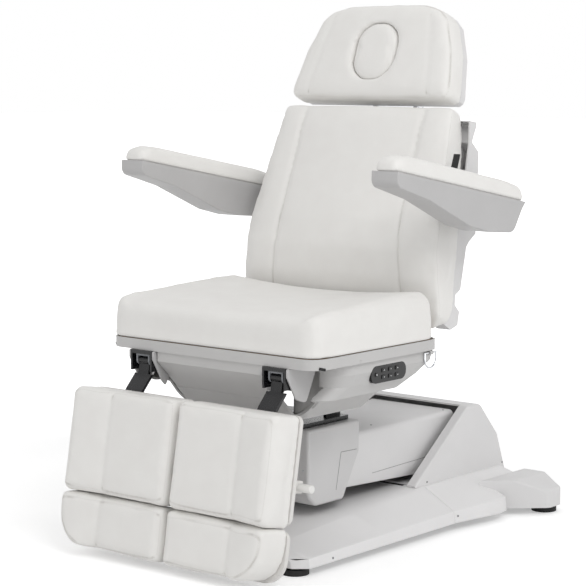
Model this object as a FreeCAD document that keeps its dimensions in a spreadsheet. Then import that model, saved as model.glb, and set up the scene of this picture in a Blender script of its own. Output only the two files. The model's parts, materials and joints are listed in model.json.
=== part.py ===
"""Podiatry chair, modelled piece by piece, in millimetres.

+Z is up, the sitter faces -Y and the sitter's left hand is on +X. The origin lies on the
floor, under the middle of the chair. Heights are measured from the floor and depths from
the front edge of the seat, which lies at seat_front.
"""
import FreeCAD, Part
import math
import os
import re

V = FreeCAD.Vector
X_WAY = V(1, 0, 0)
Z_WAY = V(0, 0, 1)

doc = FreeCAD.newDocument("podiatry_chair")
sheet = doc.addObject("Spreadsheet::Sheet", "sizes")

# Driving dimensions
SIZES = [
    # Whole chair
    ("seat_front", -376.0), ("run_gap", 0.3), ("pin_gap", 0.05), ("overrun", 5.0),
    ("pin_head", 4.0), ("pad_gap", 0.3),
    ("steel_wall", 6.0), ("shell_wall", 4.0), ("soft_edge", 3.0),
    # Base
    ("foot_radius", 30.0), ("foot_rubber_depth", 13.0), ("foot_neck_radius", 18.0),
    ("foot_neck_depth", 5.0), ("front_foot_half", 220.0), ("front_foot_depth", 32.0),
    ("rear_foot_half", 305.0), ("rear_foot_depth", 868.0),
    ("cover_floor", 18.0), ("cover_split", 552.0), ("cover_joint", 1.0),
    ("cover_tail", 928.0), ("cover_half", 266.0), ("cover_nose_half", 236.0),
    ("cover_flare_half", 290.0), ("cover_flare_depth", 700.0), ("cover_heel_half", 262.0),
    ("cover_tail_half", 240.0), ("ridge_middle", 80.0),
    ("skirt_top_front", 38.0), ("skirt_top_split", 46.0), ("skirt_top_tail", 52.0),
    ("ridge_half", 178.0), ("ridge_nose", 50.0), ("ridge_front", 60.0), ("ridge_split", 92.0),
    ("ridge_tail", 66.0), ("skirt_lean", 4.0), ("nose_round_depth", 26.0),
    ("slot_half", 128.0), ("slot_front", 640.0), ("slot_rear", 845.0),
    ("wing_half", 346.0), ("wing_tip_front", 816.0), ("wing_heart_front", 835.0),
    ("wing_tip_rear", 900.0), ("wing_rear", 915.0), ("wing_root_half", 225.0),
    ("wing_elbow_half", 276.0), ("wing_heart_top", 53.0), ("wing_heart_rear", 893.0),
    ("wing_root_top", 86.0), ("wing_tip_top", 64.0), ("wing_root_front", 742.0),
    ("wing_corner", 22.0), ("wing_gap", 2.0),
    ("tower_half", 170.0), ("tower_slot_half", 145.0), ("tower_foot_front", 528.0),
    ("tower_foot", 96.0), ("tower_top", 256.0), ("tower_top_front", 737.0),
    ("tower_top_rear", 790.0), ("tower_shoulder_depth", 866.0), ("tower_shoulder", 172.0),
    ("tower_tail", 902.0), ("tower_roof_front", 743.0),
    ("tower_round", 5.0), ("tower_bend", 24.0), ("frame_half", 128.0), ("rail_width", 40.0), ("rail_height", 24.0),
    ("foot_plate_front", 12.0), ("foot_plate_rear", 56.0), ("foot_plate_thick", 6.0),
    ("foot_plate_half", 240.0), ("cross_rear", 600.0), ("cross_middle", 400.0), ("cross_width", 30.0),
    ("cheek_side", 112.0), ("cheek_thick", 8.0), ("cheek_front", 668.0), ("cheek_rear", 800.0),
    ("cheek_top", 214.0), ("cheek_corner", 30.0), ("cheek_crown_half", 26.0),
    ("control_box_length", 150.0), ("control_box_width", 90.0), ("control_box_height", 22.0),
    ("control_box_depth", 190.0), ("control_box_side", 62.0),
    ("inlet_width", 48.0), ("inlet_height", 28.0), ("inlet_depth", 26.0), ("inlet_side", 120.0),
    ("inlet_level", 43.0), ("inlet_flange", 3.0), ("inlet_blade_width", 4.0),
    ("inlet_recess", 16.0), ("inlet_rim", 5.0),
    # Lift
    ("lift_pivot_depth", 735.0), ("lift_pivot_height", 185.0), ("lift_length", 465.0),
    ("link_drop", 55.0), ("lift_pin", 12.0), ("link_pin", 8.0), ("arm_beam_half", 55.0),
    ("arm_beam_height", 40.0), ("arm_hub", 24.0), ("lift_range", 36.0),
    ("link_side", -62.0), ("link_width", 36.0), ("link_height", 14.0), ("link_eye", 14.0),
    ("lift_lever", 125.0), ("lever_side", 50.0), ("lever_thick", 10.0), ("lever_end", 13.0),
    ("link_pin_inner", -36.0),
    ("arm_cover_half", 127.0), ("arm_cover_top", 243.0), ("arm_cover_front", 292.0),
    ("arm_cover_tail", 3.0), ("arm_cover_front_floor", 122.0), ("arm_cover_tail_floor", 101.0),
    ("arm_cover_round", 12.0), ("arm_cover_lean", 6.0), ("arm_cover_bevel", 26.0),
    ("post_radius", 9.0), ("post_front", 350.0), ("post_rear", 620.0),
    # Lift head
    ("head_half", 140.0), ("head_front", 172.0), ("head_top", 275.0), ("head_rear", 352.0),
    ("head_floor", 102.0), ("head_waist_depth", 350.0), ("head_waist", 204.0),
    ("head_heel_depth", 292.0), ("head_toe_rise", 24.0), ("head_toe_depth", 198.0),
    ("head_round", 7.0), ("head_toe_round", 26.0), ("head_wall", 4.0), ("head_floor_rear", 246.0),
    ("head_plate_side", 98.0), ("head_plate_thick", 8.0), ("head_plate_front", 184.0),
    ("head_plate_rear", 288.0), ("head_plate_floor", 112.0), ("head_plate_toe", 150.0), ("head_mouth_half", 108.0),
    ("head_mouth_front", 179.0), ("head_mouth_rear", 338.0), ("deck_thick", 10.0),
    ("deck_half", 118.0), ("deck_front", 177.0), ("deck_rear", 342.0), ("rod_mouth", 22.0),
    # Seat tilt
    ("tilt_depth", 322.0), ("tilt_height", 334.0), ("tilt_pin", 9.0), ("tilt_ear", 16.0),
    ("tilt_lever", 120.0), ("tilt_range", 12.0), ("tilt_ear_side", 94.0), ("ear_thick", 8.0),
    ("tilt_hanger_side", 82.0), ("actuator_half", 18.0), ("rod_radius", 8.0), ("rod_pin", 5.0),
    ("rod_eye_wall", 5.0), ("rod_eye_thick", 17.0), ("actuator_wall", 6.0),
    ("lift_slack", 5.0), ("back_slack", 6.0), ("tilt_slack", 2.0), ("lift_body_front", 412.0),
    ("lift_body_rear", 610.0), ("back_body_rear", 392.0),
    ("tilt_body_floor", 150.0), ("rod_stay", 48.0),
    # Seat
    ("seat_half", 300.0), ("seat_seam", 465.0), ("rim_depth", 23.0), ("rim_rear", 446.0),
    ("rim_corner", 40.0),
    ("bowl_front", 96.0), ("bowl_half", 291.0), ("bowl_rear", 456.0), ("bowl_mid", 418.0),
    ("bowl_low", 392.0), ("bowl_low_half", 281.0), ("bowl_low_rear", 408.0),
    ("bowl_ledge", 366.0), ("bowl_ledge_half", 268.0), ("bowl_ledge_rear", 356.0),
    ("bowl_ledge_front", 66.0), ("bowl_corner", 48.0), ("funnel_root", 356.0),
    ("funnel_root_half", 214.0), ("funnel_floor", 312.0), ("funnel_half", 170.0),
    ("funnel_front", 111.0), ("funnel_rear", 341.0), ("funnel_corner", 26.0),
    ("apron_half", 152.0), ("apron_drop", 45.0), ("apron_front", 4.0), ("apron_rear", 200.0),
    ("rear_slot_half", 190.0), ("rear_slot_depth", 46.0), ("rear_slot_floor", 404.0),
    ("rear_slot_top", 458.0), ("lever_slot_floor", 374.0), ("lever_slot_half", 44.0),
    ("floor_mouth_front", 150.0), ("floor_mouth_rear", 350.0), ("hinge_inner_side", 128.0),
    ("board_thick", 15.0), ("board_inset", 12.0),
    ("seat_frame_half", 106.0), ("seat_frame_floor", 406.0),
    ("seat_frame_rear", 424.0), ("seat_rail_width", 30.0), ("seat_beam_width", 26.0),
    ("leg_beam_front", 32.0), ("leg_beam_rear", 72.0), ("leg_beam_half", 225.0),
    ("beam_gap", 1.0), ("rear_beam_half", 178.0), ("notch_inner", 154.0), ("notch_outer", 233.0),
    ("notch_rear", 108.0),
    # Seat cushion
    ("cushion_nose_half", 264.0), ("cushion_nose_top", 62.0), ("cushion_nose_edge", 40.0), ("cushion_rear", 421.0),
    ("cushion_edge", 72.0), ("cushion_bolster", 108.0),
    ("cushion_bulge", 4.0), ("cushion_shoulder", 34.0), ("cushion_round", 14.0),
    # Keypad and ring
    ("keypad_length", 124.0), ("keypad_height", 38.0), ("keypad_depth", 262.0),
    ("keypad_level", 409.0), ("keypad_thick", 6.0), ("keypad_face", 291.0),
    ("key_size", 9.0), ("key_pitch_y", 24.0), ("key_pitch_z", 15.0),
    ("key_proud", 1.5), ("key_thick", 3.0), ("key_gap", 0.3), ("key_row_start", 44.0),
    ("key_power_inset", 18.0), ("key_stretch", 3.0), ("key_corner", 3.0), ("key_floor", 1.0),
    ("ring_wire", 2.2), ("ring_width", 46.0), ("ring_drop", 36.0), ("ring_inset", 47.0),
    ("ring_level", 436.0), ("ring_side", 295.0), ("ring_boss", 5.0), ("ring_boss_length", 10.0),
    # Back
    ("back_hinge_depth", 470.0), ("back_hinge_height", 440.0), ("back_lean", 20.0),
    ("back_pin", 10.0), ("back_eye", 16.0), ("back_bar_side", 150.0), ("back_bar_width", 24.0),
    ("back_bar_depth", 13.0), ("back_lever", 48.0), ("back_range", 68.0),
    ("hinge_plate_thick", 6.0), ("back_half", 262.0), ("pod_width", 34.0),
    ("back_wall", 4.0), ("pod_depth", 73.0), ("spine_half", 96.0), ("spine_rear", 34.0),
    ("spine_root", 18.0), ("spine_floor", 330.0), ("spine_chamfer", 24.0), ("bar_gap", 4.5),
    ("back_bar_top", 396.0),
    ("back_top", 526.0), ("back_cross_floor", 300.0), ("back_cross_height", 26.0),
    ("armrest_hub_depth", 5.0), ("armrest_hub_level", 323.0), ("armrest_pin", 10.0),
    ("armrest_hub_radius", 24.0), ("armrest_boss_side", 286.0), ("armrest_bore", 62.0), ("guide_side", 60.0), ("guide_radius", 10.0),
    ("guide_rod", 7.0), ("guide_depth", 6.0), ("guide_floor", 372.0), ("guide_top", 520.0),
    ("trim_side", 30.0), ("strip_thick", 2.5),
    ("hook_thick", 3.0), ("hook_level", 352.0), ("hook_height", 24.0), ("hook_top", 412.0),
    ("hook_front", -132.0), ("hook_width", 16.0), ("hook_rear", 20.0), ("hook_side", 306.0),
    # Back cushion, across and along
    ("back_cushion_half", 292.0), ("back_cushion_depth", 112.0), ("channel_depth", 5.0),
    ("channel_width", 9.0), ("bolster_crown", 4.0),
    ("back_crown", 12.0), ("back_side_bulge", 3.0), ("back_tuck", 8.0),
    # Headrest
    ("head_hinge_depth", -10.0), ("head_hinge_level", 604.0),
    ("head_pin", 6.0), ("headrest_front", -118.0), ("headrest_rear", -58.0),
    ("headrest_shell_rear", -40.0), ("headrest_foot", 552.0), ("headrest_top", 778.0),
    ("headrest_foot_half", 233.0), ("headrest_round", 16.0), ("headrest_crown", 6.0),
    ("head_lug", 10.0), ("plug_half", 60.0),
    ("plug_height", 143.0), ("plug_level", 661.0), ("plug_gap", 0.5),
    ("slide_block_half", 74.0), ("slide_block_floor", 566.0), ("slide_block_height", 22.0),
    # Armrests
    ("armrest_inner", 330.0), ("armrest_width", 70.0), ("armrest_pitch", 10.4),
    ("armrest_front", 452.0), ("armrest_rear", 36.0), ("armrest_seam", 28.0),
    ("armrest_top", 62.0), ("armrest_drop", 56.0), ("armrest_inset", 3.0),
    ("pad_bulge", 2.5), ("pad_round", 4.0), ("pad_crown", 3.0),
    ("armrest_corner", 26.0),
    # Leg rests
    ("leg_side", 193.0), ("leg_hinge_depth", 10.0), ("leg_hinge_height", 418.0),
    ("leg_lean", 10.0), ("leg_pin", 5.0), ("leg_box_half", 32.0), ("leg_box_wall", 5.0),
    ("leg_box_roof", 8.0), ("leg_box_floor", 396.0), ("leg_box_front", -6.0),
    ("cheek_plate", 6.0), ("cheek_foot", 362.0), ("cheek_toe", 12.0),
    ("cheek_toe_depth", 22.0), ("cheek_heel_depth", 56.0), ("cheek_tail", 86.0), ("horn_depth", 22.0), ("yoke_half", 20.0), ("yoke_wall", 4.0), ("yoke_ear", 10.0),
    ("yoke_roof", 4.5), ("yoke_front", 0.0), ("swivel_pin", 7.0),
    ("leg_arm_half", 15.0), ("leg_arm_eye", 9.0), ("leg_arm_thick", 8.0),
    ("leg_arm_wide_half", 25.0), ("leg_arm_wide_top", -30.0), ("leg_arm_foot", -205.0),
    ("leg_pad_side", 150.0), ("leg_pad_half", 147.0), ("leg_pad_top", -70.0),
    ("leg_pad_foot", -296.0), ("leg_face", -100.0), ("leg_wing_face", -119.0),
    ("leg_pad_rear", -40.0), ("leg_board_rear", -30.0), ("leg_channel", 38.0),
    ("leg_corner", 16.0), ("pad_edge", 12.0), ("leg_arm_bend", 22.0), ("lever_stand", 17.0), ("foot_pad_top", -309.0), ("foot_pad_foot", -420.0),
    ("foot_corner", 74.0), ("tongue_side", -58.0),
    ("tongue_width", 50.0), ("tongue_thick", 5.0), ("tongue_top", -120.0),
    ("guide_wall", 4.0), ("guide_box_top", -110.0), ("guide_box_foot", -290.0),
    ("lever_radius", 9.0), ("lever_level", -216.0), ("lever_root", 60.0),
    ("lever_reach", 176.0), ("lever_block", 12.0),
]
for row, (alias, value) in enumerate(SIZES, start=1):
    sheet.set(f"A{row}", alias)
    sheet.set(f"B{row}", str(value))
    sheet.setAlias(f"B{row}", alias)
doc.recompute()


class Sizes:
    """Reads a driving dimension by its name."""

    def __getattr__(self, alias):
        return float(sheet.get(alias))


s = Sizes()
ALIASES = {alias for alias, _ in SIZES}
PLANES = {"X": ("YZ_Plane", ""), "Y": ("XZ_Plane", "-"), "Z": ("XY_Plane", "")}
RUN_SHARE = 0.48
TINY = 1e-6
nodes = []
# Seat cushion stations: depth, half width, edge height, bolster height and dish height
SEAT_SHARES = [(0.018, 0.95, 0.78, 0.70, 0.69), (0.057, 0.99, 0.92, 0.76, 0.74),
               (0.14, 1.0, 1.0, 0.80, 0.77), (0.45, 1.0, 1.0, 0.90, 0.82),
               (0.78, 1.0, 1.0, 0.98, 0.85), (0.95, 1.0, 0.98, 0.97, 0.84),
               (1.0, 0.97, 0.82, 0.86, 0.76)]
# Back cushion stations: level, half width, front, rear and channel place
BACK_SHARES = [(0.055, 0.925, 0.268, -0.179, 0.668), (0.108, 0.986, 0.42, 0.071, 0.66),
               (0.171, 1.0, 0.571, 0.098, 0.65), (0.243, 0.993, 0.741, 0.045, 0.64),
               (0.36, 0.98, 0.93, 0.0, 0.62), (0.481, 0.966, 1.0, -0.045, 0.60),
               (0.736, 0.911, 1.0, -0.179, 0.596), (0.886, 0.877, 1.0, -0.295, 0.596),
               (0.982, 0.853, 1.0, -0.44, 0.596), (1.0, 0.83, 0.95, -0.50, 0.59)]
CROWN_SHARES = [0.1, 0.3, 0.6, 0.9, 1.0, 1.0, 1.0, 1.0, 0.7, 0.3]
# Rear outline of the back shell: level and depth, at the side pods and at the middle
POD_SHARES = [(0.095, 0.66), (0.127, 0.97), (0.186, 0.91), (0.205, 0.60), (0.247, 0.52),
              (0.278, 0.72), (0.464, 0.55), (0.49, 0.63), (0.54, 0.90), (0.57, 0.685),
              (0.768, 0.41), (0.878, 0.11), (0.901, -0.33), (0.935, -0.31), (0.975, -0.27),
              (0.992, -0.33)]
TRAY_SHARES = [(0.114, 0.57), (0.266, 0.57), (0.464, 0.41), (0.608, 0.30), (0.768, 0.03),
               (0.901, -0.33), (0.99, -0.38)]
# Black strip on the rear of each pod
STRIP_SHARES = [0.772, 0.874]
# Headrest stations: level, half width and fall of the front
HEAD_SHARES = [(0.0, 0.955, 0.45), (0.03, 0.99, 0.12), (0.08, 1.0, 0.0), (0.5, 0.925, 0.0),
               (0.83, 0.80, 0.0), (0.93, 0.70, 0.15), (1.0, 0.515, 0.6)]
# Underside of the armrest: depth, drop and corner; and its pad: place, draw and height
ARM_SHARES = [(-0.991, -0.07, 1.5), (-0.73, -0.29, 1.0), (-0.38, -0.93, 1.0), (-0.22, -1.0, 1.0),
              (0.0, -0.82, 1.0), (0.053, 0.18, 0)]
PAD_SHARES = [(0.0, 0.55, 0.45), (0.012, 0.25, 0.72), (0.05, 0.0, 0.95), (0.15, 0.0, 1.0),
              (0.85, 0.0, 1.0), (0.95, 0.0, 0.93), (0.988, 0.25, 0.70), (1.0, 0.55, 0.42)]
# Leg and foot pads: level, rise of the face and drawing in of the sides
PAD_ROUND_SHARES = [(0.0, 0.82, 0.5), (0.02, 0.93, 0.2), (0.06, 1.0, 0.0), (0.94, 1.0, 0.0),
                    (0.98, 0.93, 0.2), (1.0, 0.82, 0.5)]
FOOT_ARC_SHARES = [0.0, 0.35, 0.62, 0.8]
CHEEK_LIP_SHARE = 0.22
LUG_SHARE = 0.75
ROUND_SHARE = 0.24
PLUG_ROUND_SHARE = 0.93
PAD_SHOULDER_SHARE = 0.62
PAD_TOP_SHARE = 0.5



# Outlines and placing
def corner_path(corners):
    """Edges of a closed outline whose corners are (a, b) or (a, b, radius)."""
    count = len(corners)
    cuts = []
    for i, corner in enumerate(corners):
        here = V(corner[0], corner[1], 0)
        radius = corner[2] if len(corner) > 2 else 0
        if radius <= 0:
            cuts.append((here, None, here))
            continue
        before = V(corners[i - 1][0], corners[i - 1][1], 0) - here
        after = V(corners[(i + 1) % count][0], corners[(i + 1) % count][1], 0) - here
        shortest = min(before.Length, after.Length)
        before.normalize()
        after.normalize()
        half = before.getAngle(after) / 2
        reach = min(radius / math.tan(half), RUN_SHARE * shortest)
        radius = reach * math.tan(half)
        inward = (before + after).normalize()
        centre = here + inward * (radius / math.sin(half))
        cuts.append((here + before * reach, centre - inward * radius, here + after * reach))
    edges = []
    for i, (start, middle, end) in enumerate(cuts):
        if middle is not None:
            edges.append(Part.Arc(start, middle, end))
        following = cuts[(i + 1) % count][0]
        if end.distanceToPoint(following) > TINY:
            edges.append(Part.LineSegment(end, following))
    return edges


def inset(corners, wall):
    """The outline drawn in by wall on all sides; its corners are given anticlockwise."""
    count = len(corners)
    drawn = []
    for i, corner in enumerate(corners):
        here = V(corner[0], corner[1], 0)
        before = here - V(corners[i - 1][0], corners[i - 1][1], 0)
        after = V(corners[(i + 1) % count][0], corners[(i + 1) % count][1], 0) - here
        first = V(-before.y, before.x, 0).normalize()
        second = V(-after.y, after.x, 0).normalize()
        shift = (first + second) * (wall / (1 + first.dot(second)))
        radius = corner[2] - wall if len(corner) > 2 else 0
        drawn.append((here.x + shift.x, here.y + shift.y, max(radius, 0)))
    return drawn


def moved(corners, picks, along, up):
    """The outline with some of its corners shifted, as where a wall is left open."""
    return [(c[0] + along, c[1] + up) + tuple(c[2:]) if i in picks else c
            for i, c in enumerate(corners)]


def circle(a, b, radius):
    return [Part.Circle(V(a, b, 0), Z_WAY, radius)]


def box_path(a_low, a_high, b_low, b_high, radius=0):
    return corner_path([(a_low, b_low, radius), (a_high, b_low, radius),
                        (a_high, b_high, radius), (a_low, b_high, radius)])


def bow(start, end, rise):
    """Arc from start to end that stands proud of its chord by rise, on the chord's right."""
    first = V(start[0], start[1], 0)
    last = V(end[0], end[1], 0)
    chord = last - first
    side = V(chord.y, -chord.x, 0).normalize()
    if abs(rise) < TINY:
        return Part.LineSegment(first, last)
    return Part.Arc(first, (first + last) / 2 + side * rise, last)


def between(rows, level):
    """Straight-line value at a level from rows of (level, value)."""
    for (low, first), (high, last) in zip(rows, rows[1:]):
        if level <= high:
            return first + (last - first) * (level - low) / (high - low)
    return rows[-1][1]


def frame_at(y, z, lean=0, x=0):
    """Placement whose origin lies y behind the seat's front edge and z above the floor."""
    return FreeCAD.Placement(V(x, s.seat_front + y, z), FreeCAD.Rotation(X_WAY, -lean))


CHAIR = frame_at(0, 0)
BACK = frame_at(s.back_hinge_depth, s.back_hinge_height, s.back_lean)


def side_name(name, side):
    return name + ("_left" if side > 0 else "_right")


def sides(low, high):
    """The two mirrored spans across the chair, as expressions on the sheet."""
    return ((low, high), (f"-({high})", f"-({low})"))


def side_span(side, low, high):
    """One of the two mirrored spans: the left one for side 1, the right one for side -1."""
    return sides(low, high)[0 if side > 0 else 1]


# Building blocks
def bound(text):
    """Expression on the sheet, written with the plain names of its sizes."""
    return re.sub(r"[a-z_]+",
                  lambda word: "sizes." + word.group() if word.group() in ALIASES else word.group(),
                  str(text))


def new_body(label, placement=CHAIR):
    body = doc.addObject("PartDesign::Body", label)
    body.Label = label
    body.Placement = placement
    nodes.append(body)
    return body


def sketch_on(body, way, loops, level):
    """Sketch square to one axis of the body, at a level along it."""
    role, sign = PLANES[way]
    plane = next(f for f in body.Origin.OriginFeatures if f.Role == role)
    sketch = body.newObject("Sketcher::SketchObject", body.Label + "_outline")
    sketch.AttachmentSupport = [(plane, "")]
    sketch.MapMode = "FlatFace"
    sketch.setExpression("AttachmentOffset.Base.z", f"{sign}({bound(level)})")
    for loop in loops:
        for edge in loop:
            sketch.addGeometry(edge, False)
    return sketch


def extrude(body, way, loops, low, high, kind="PartDesign::Pad"):
    """Prism from low to high along an axis; both levels are expressions on the sheet."""
    feature = body.newObject(kind, body.Label + "_prism")
    feature.Profile = sketch_on(body, way, loops, f"(({low}) + ({high})) / 2")
    feature.Midplane = True
    feature.setExpression("Length", bound(f"({high}) - ({low})"))
    body.Tip = feature
    doc.recompute()
    return feature


def cut(body, way, loops, low, high):
    before = body.Shape.Volume
    feature = extrude(body, way, loops, low, high, "PartDesign::Pocket")
    if not body.Shape.Volume < before - TINY:
        raise ValueError("a cut removes nothing from " + body.Label)
    return feature


def loft(body, way, sections, kind="PartDesign::AdditiveLoft"):
    """Loft through (level, outline) sections along an axis of the body."""
    sketches = [sketch_on(body, way, [outline], level) for level, outline in sections]
    feature = body.newObject(kind, body.Label + "_loft")
    feature.Profile = sketches[0]
    feature.Sections = sketches[1:]
    feature.Ruled = True
    body.Tip = feature
    doc.recompute()
    return feature


def hollow(body, way, sections):
    return loft(body, way, sections, "PartDesign::SubtractiveLoft")


def round_edges(body, radius, wanted):
    """Rounds the edges of the last feature that a test picks."""
    base = body.Tip
    names = [f"Edge{i}" for i, edge in enumerate(base.Shape.Edges, start=1) if wanted(edge)]
    feature = body.newObject("PartDesign::Fillet", body.Label + "_round")
    feature.Base = (base, names)
    feature.setExpression("Radius", bound(radius))
    body.Tip = feature
    doc.recompute()
    return feature


def ear(body, centre, radius, base, low, high):
    """Plate across the chair from a straight base (start, end, level) to a round end."""
    a, b = centre
    start, end, level = base
    extrude(body, "X", [corner_path([(start, level), (end, level), (a + radius, b),
                                     (a - radius, b)])], low, high)
    extrude(body, "X", [circle(a, b, radius)], low, high)


ALONG_Y = FreeCAD.Rotation(X_WAY, -90)


def cylinder(label, radius, length, start, turn=None, placement=CHAIR):
    """Round bar; start is its first end and turn the rotation of +Z to its axis."""
    bar = doc.addObject("Part::Cylinder", label)
    bar.setExpression("Radius", bound(radius))
    bar.setExpression("Height", bound(length))
    local = FreeCAD.Placement(start, turn or FreeCAD.Rotation())
    bar.Placement = placement.multiply(local)
    return bar


def fuse(label, members):
    joined = doc.addObject("Part::MultiFuse", label)
    joined.Shapes = members
    return joined


def group(label, members):
    """Separate solids that share one node."""
    compound = doc.addObject("Part::Compound", label)
    compound.Label = label
    compound.Links = members
    nodes.append(compound)
    return compound


# Pivots, as depth and height
LIFT_TOP = (s.lift_pivot_depth, s.lift_pivot_height)
LIFT_LOW = (s.lift_pivot_depth, s.lift_pivot_height - s.link_drop)
HEAD_TOP = (s.lift_pivot_depth - s.lift_length, s.lift_pivot_height)
HEAD_LOW = (s.lift_pivot_depth - s.lift_length, s.lift_pivot_height - s.link_drop)
TILT = (s.tilt_depth, s.tilt_height)
HINGE = (s.back_hinge_depth, s.back_hinge_height)


def lever_end(pivot, length, reach, start=0.0):
    """Resting end of a lever that swings evenly to both sides of its middle place."""
    half = math.radians(reach / 2)
    middle = math.radians(start)
    return (pivot[0] + length * math.sin(half - middle), pivot[1] - length * math.cos(half - middle))


LIFT_LEVER = lever_end(LIFT_TOP, s.lift_lever, s.lift_range)
BACK_LEVER = lever_end(HINGE, s.back_lever, s.back_range)
TILT_LEVER = (TILT[0] - s.tilt_lever * math.cos(math.radians(s.tilt_range / 2)),
              TILT[1] - s.tilt_lever * math.sin(math.radians(s.tilt_range / 2)))


def mean_height(pivot, length, reach):
    """Middle of the rise and fall of a lever's end over its swing."""
    return pivot[1] - length * (1 + math.cos(math.radians(reach / 2))) / 2


# Base
def levelling_feet():
    members = []
    places = [(s.front_foot_half, s.front_foot_depth), (s.rear_foot_half, s.rear_foot_depth)]
    for half, depth in places:
        for side in (-1, 1):
            centre = V(side * half, depth, 0)
            rubber = cylinder("foot_rubber", "foot_radius", "foot_rubber_depth", centre)
            neck = cylinder("foot_neck", "foot_neck_radius", "foot_neck_depth",
                            centre + Z_WAY * s.foot_rubber_depth)
            members.append(fuse("foot", [rubber, neck]))
    group("levelling_feet", members)


def base_frame():
    """Rails, cross members and the two lift cheeks with the fixed pivot pins."""
    body = new_body("base_frame")
    top = s.cover_floor + s.rail_height
    for low, high in sides("frame_half - rail_width", "frame_half"):
        extrude(body, "X", [box_path(s.foot_plate_front, s.wing_heart_front, s.cover_floor, top)],
                low, high)
    for front in (s.control_box_depth, s.cross_middle, s.cross_rear):
        extrude(body, "X", [box_path(front, front + s.cross_width, s.cover_floor, top)],
                "-frame_half", "frame_half")
    extrude(body, "X", [box_path(s.foot_plate_front, s.foot_plate_rear, s.cover_floor,
                                 s.cover_floor + s.foot_plate_thick)],
            "-foot_plate_half", "foot_plate_half")
    depth = s.lift_pivot_depth
    cheek = corner_path([(s.cheek_front, top), (s.cheek_rear, top),
                         (depth + s.cheek_crown_half, s.cheek_top, s.cheek_corner),
                         (depth - s.cheek_crown_half, s.cheek_top, s.cheek_corner)])
    for low, high in sides("cheek_side - cheek_thick", "cheek_side"):
        extrude(body, "X", [cheek], low, high)
    extrude(body, "X", [circle(*LIFT_TOP, s.lift_pin)], "-cheek_side - pin_head",
            "cheek_side + pin_head")
    extrude(body, "X", [circle(*LIFT_LOW, s.link_pin)], "-cheek_side - pin_head", "link_pin_inner")


def cover_section(half, skirt_top, ridge, wall=0.0):
    """Section of the base cover at one depth; with a wall it is the inside."""
    floor = s.cover_floor - (s.overrun if wall else 0)
    outer = half - wall
    low_top = skirt_top - wall / 2
    return corner_path([(-outer, floor), (outer, floor), (outer - s.skirt_lean, low_top),
                        (s.ridge_half, ridge - wall), (-s.ridge_half, ridge - wall),
                        (-outer + s.skirt_lean, low_top)])


def front_stations():
    """Depth, half width, skirt top and ridge height along the front cover."""
    middle = (s.nose_round_depth + s.cover_split) / 2
    skirt_middle = (s.skirt_top_front + s.skirt_top_split) / 2
    return [(0, s.cover_nose_half, s.skirt_top_front - s.skirt_lean, s.ridge_nose),
            (s.nose_round_depth, s.cover_half, s.skirt_top_front, s.ridge_front),
            (middle, s.cover_half, skirt_middle, s.ridge_middle),
            (s.cover_split, s.cover_half, s.skirt_top_split, s.ridge_split)]


def rear_stations():
    """Depth, half width, skirt top and ridge height along the rear cover."""
    return [(s.cover_split + s.cover_joint, s.cover_half, s.skirt_top_split, s.ridge_split),
            (s.cover_flare_depth, s.cover_flare_half, s.skirt_top_tail, s.ridge_split),
            (s.rear_foot_depth, s.cover_heel_half, s.skirt_top_tail, s.ridge_split),
            (s.cover_tail, s.cover_tail_half, s.skirt_top_tail - s.skirt_lean, s.ridge_tail)]


def base_cover(label, stations, front_shift, rear_shift):
    """Thin moulding, open underneath, whose ridge carries the foot of the tower."""
    body = new_body(label)
    loft(body, "Y", [(depth, cover_section(half, skirt, ridge))
                     for depth, half, skirt, ridge in stations])
    shifts = [front_shift] + [0] * (len(stations) - 2) + [rear_shift]
    hollow(body, "Y", [(depth + shift, cover_section(half, skirt, ridge, s.shell_wall))
                       for (depth, half, skirt, ridge), shift in zip(stations, shifts)])
    return body


def base_cover_front():
    body = base_cover("base_cover_front", front_stations(), s.shell_wall, s.overrun)
    # Way out for the actuator and the lift arm under the tower
    cut(body, "Z", [box_path(-s.slot_half, s.slot_half, s.tower_foot_front + s.shell_wall,
                             s.cover_split + s.overrun)], "ridge_middle", "ridge_split + overrun")


def base_cover_rear():
    body = base_cover("base_cover_rear", rear_stations(), -s.overrun, -s.shell_wall)
    # Slot in the roof for the lift arm and its lever
    cut(body, "Z", [box_path(-s.slot_half, s.slot_half, s.slot_front, s.slot_rear, s.wing_corner)],
        "ridge_split - 2 * shell_wall", "ridge_split + overrun")
    # Mouths for the outrigger
    front = s.wing_root_front - s.wing_gap
    rear = s.wing_rear + s.wing_gap
    mouth = box_path(front, rear, s.cover_floor - s.overrun, s.wing_root_top + s.wing_gap)
    for low, high in sides("wing_root_half - wing_gap", "wing_half"):
        cut(body, "X", [mouth], low, high)
    half = s.inlet_width / 2 + s.wing_gap
    rise = s.inlet_height / 2 + s.wing_gap
    cut(body, "Y", [box_path(s.inlet_side - half, s.inlet_side + half, s.inlet_level - rise,
                             s.inlet_level + rise)], "cover_tail - inlet_depth",
        "cover_tail + overrun")


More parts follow.
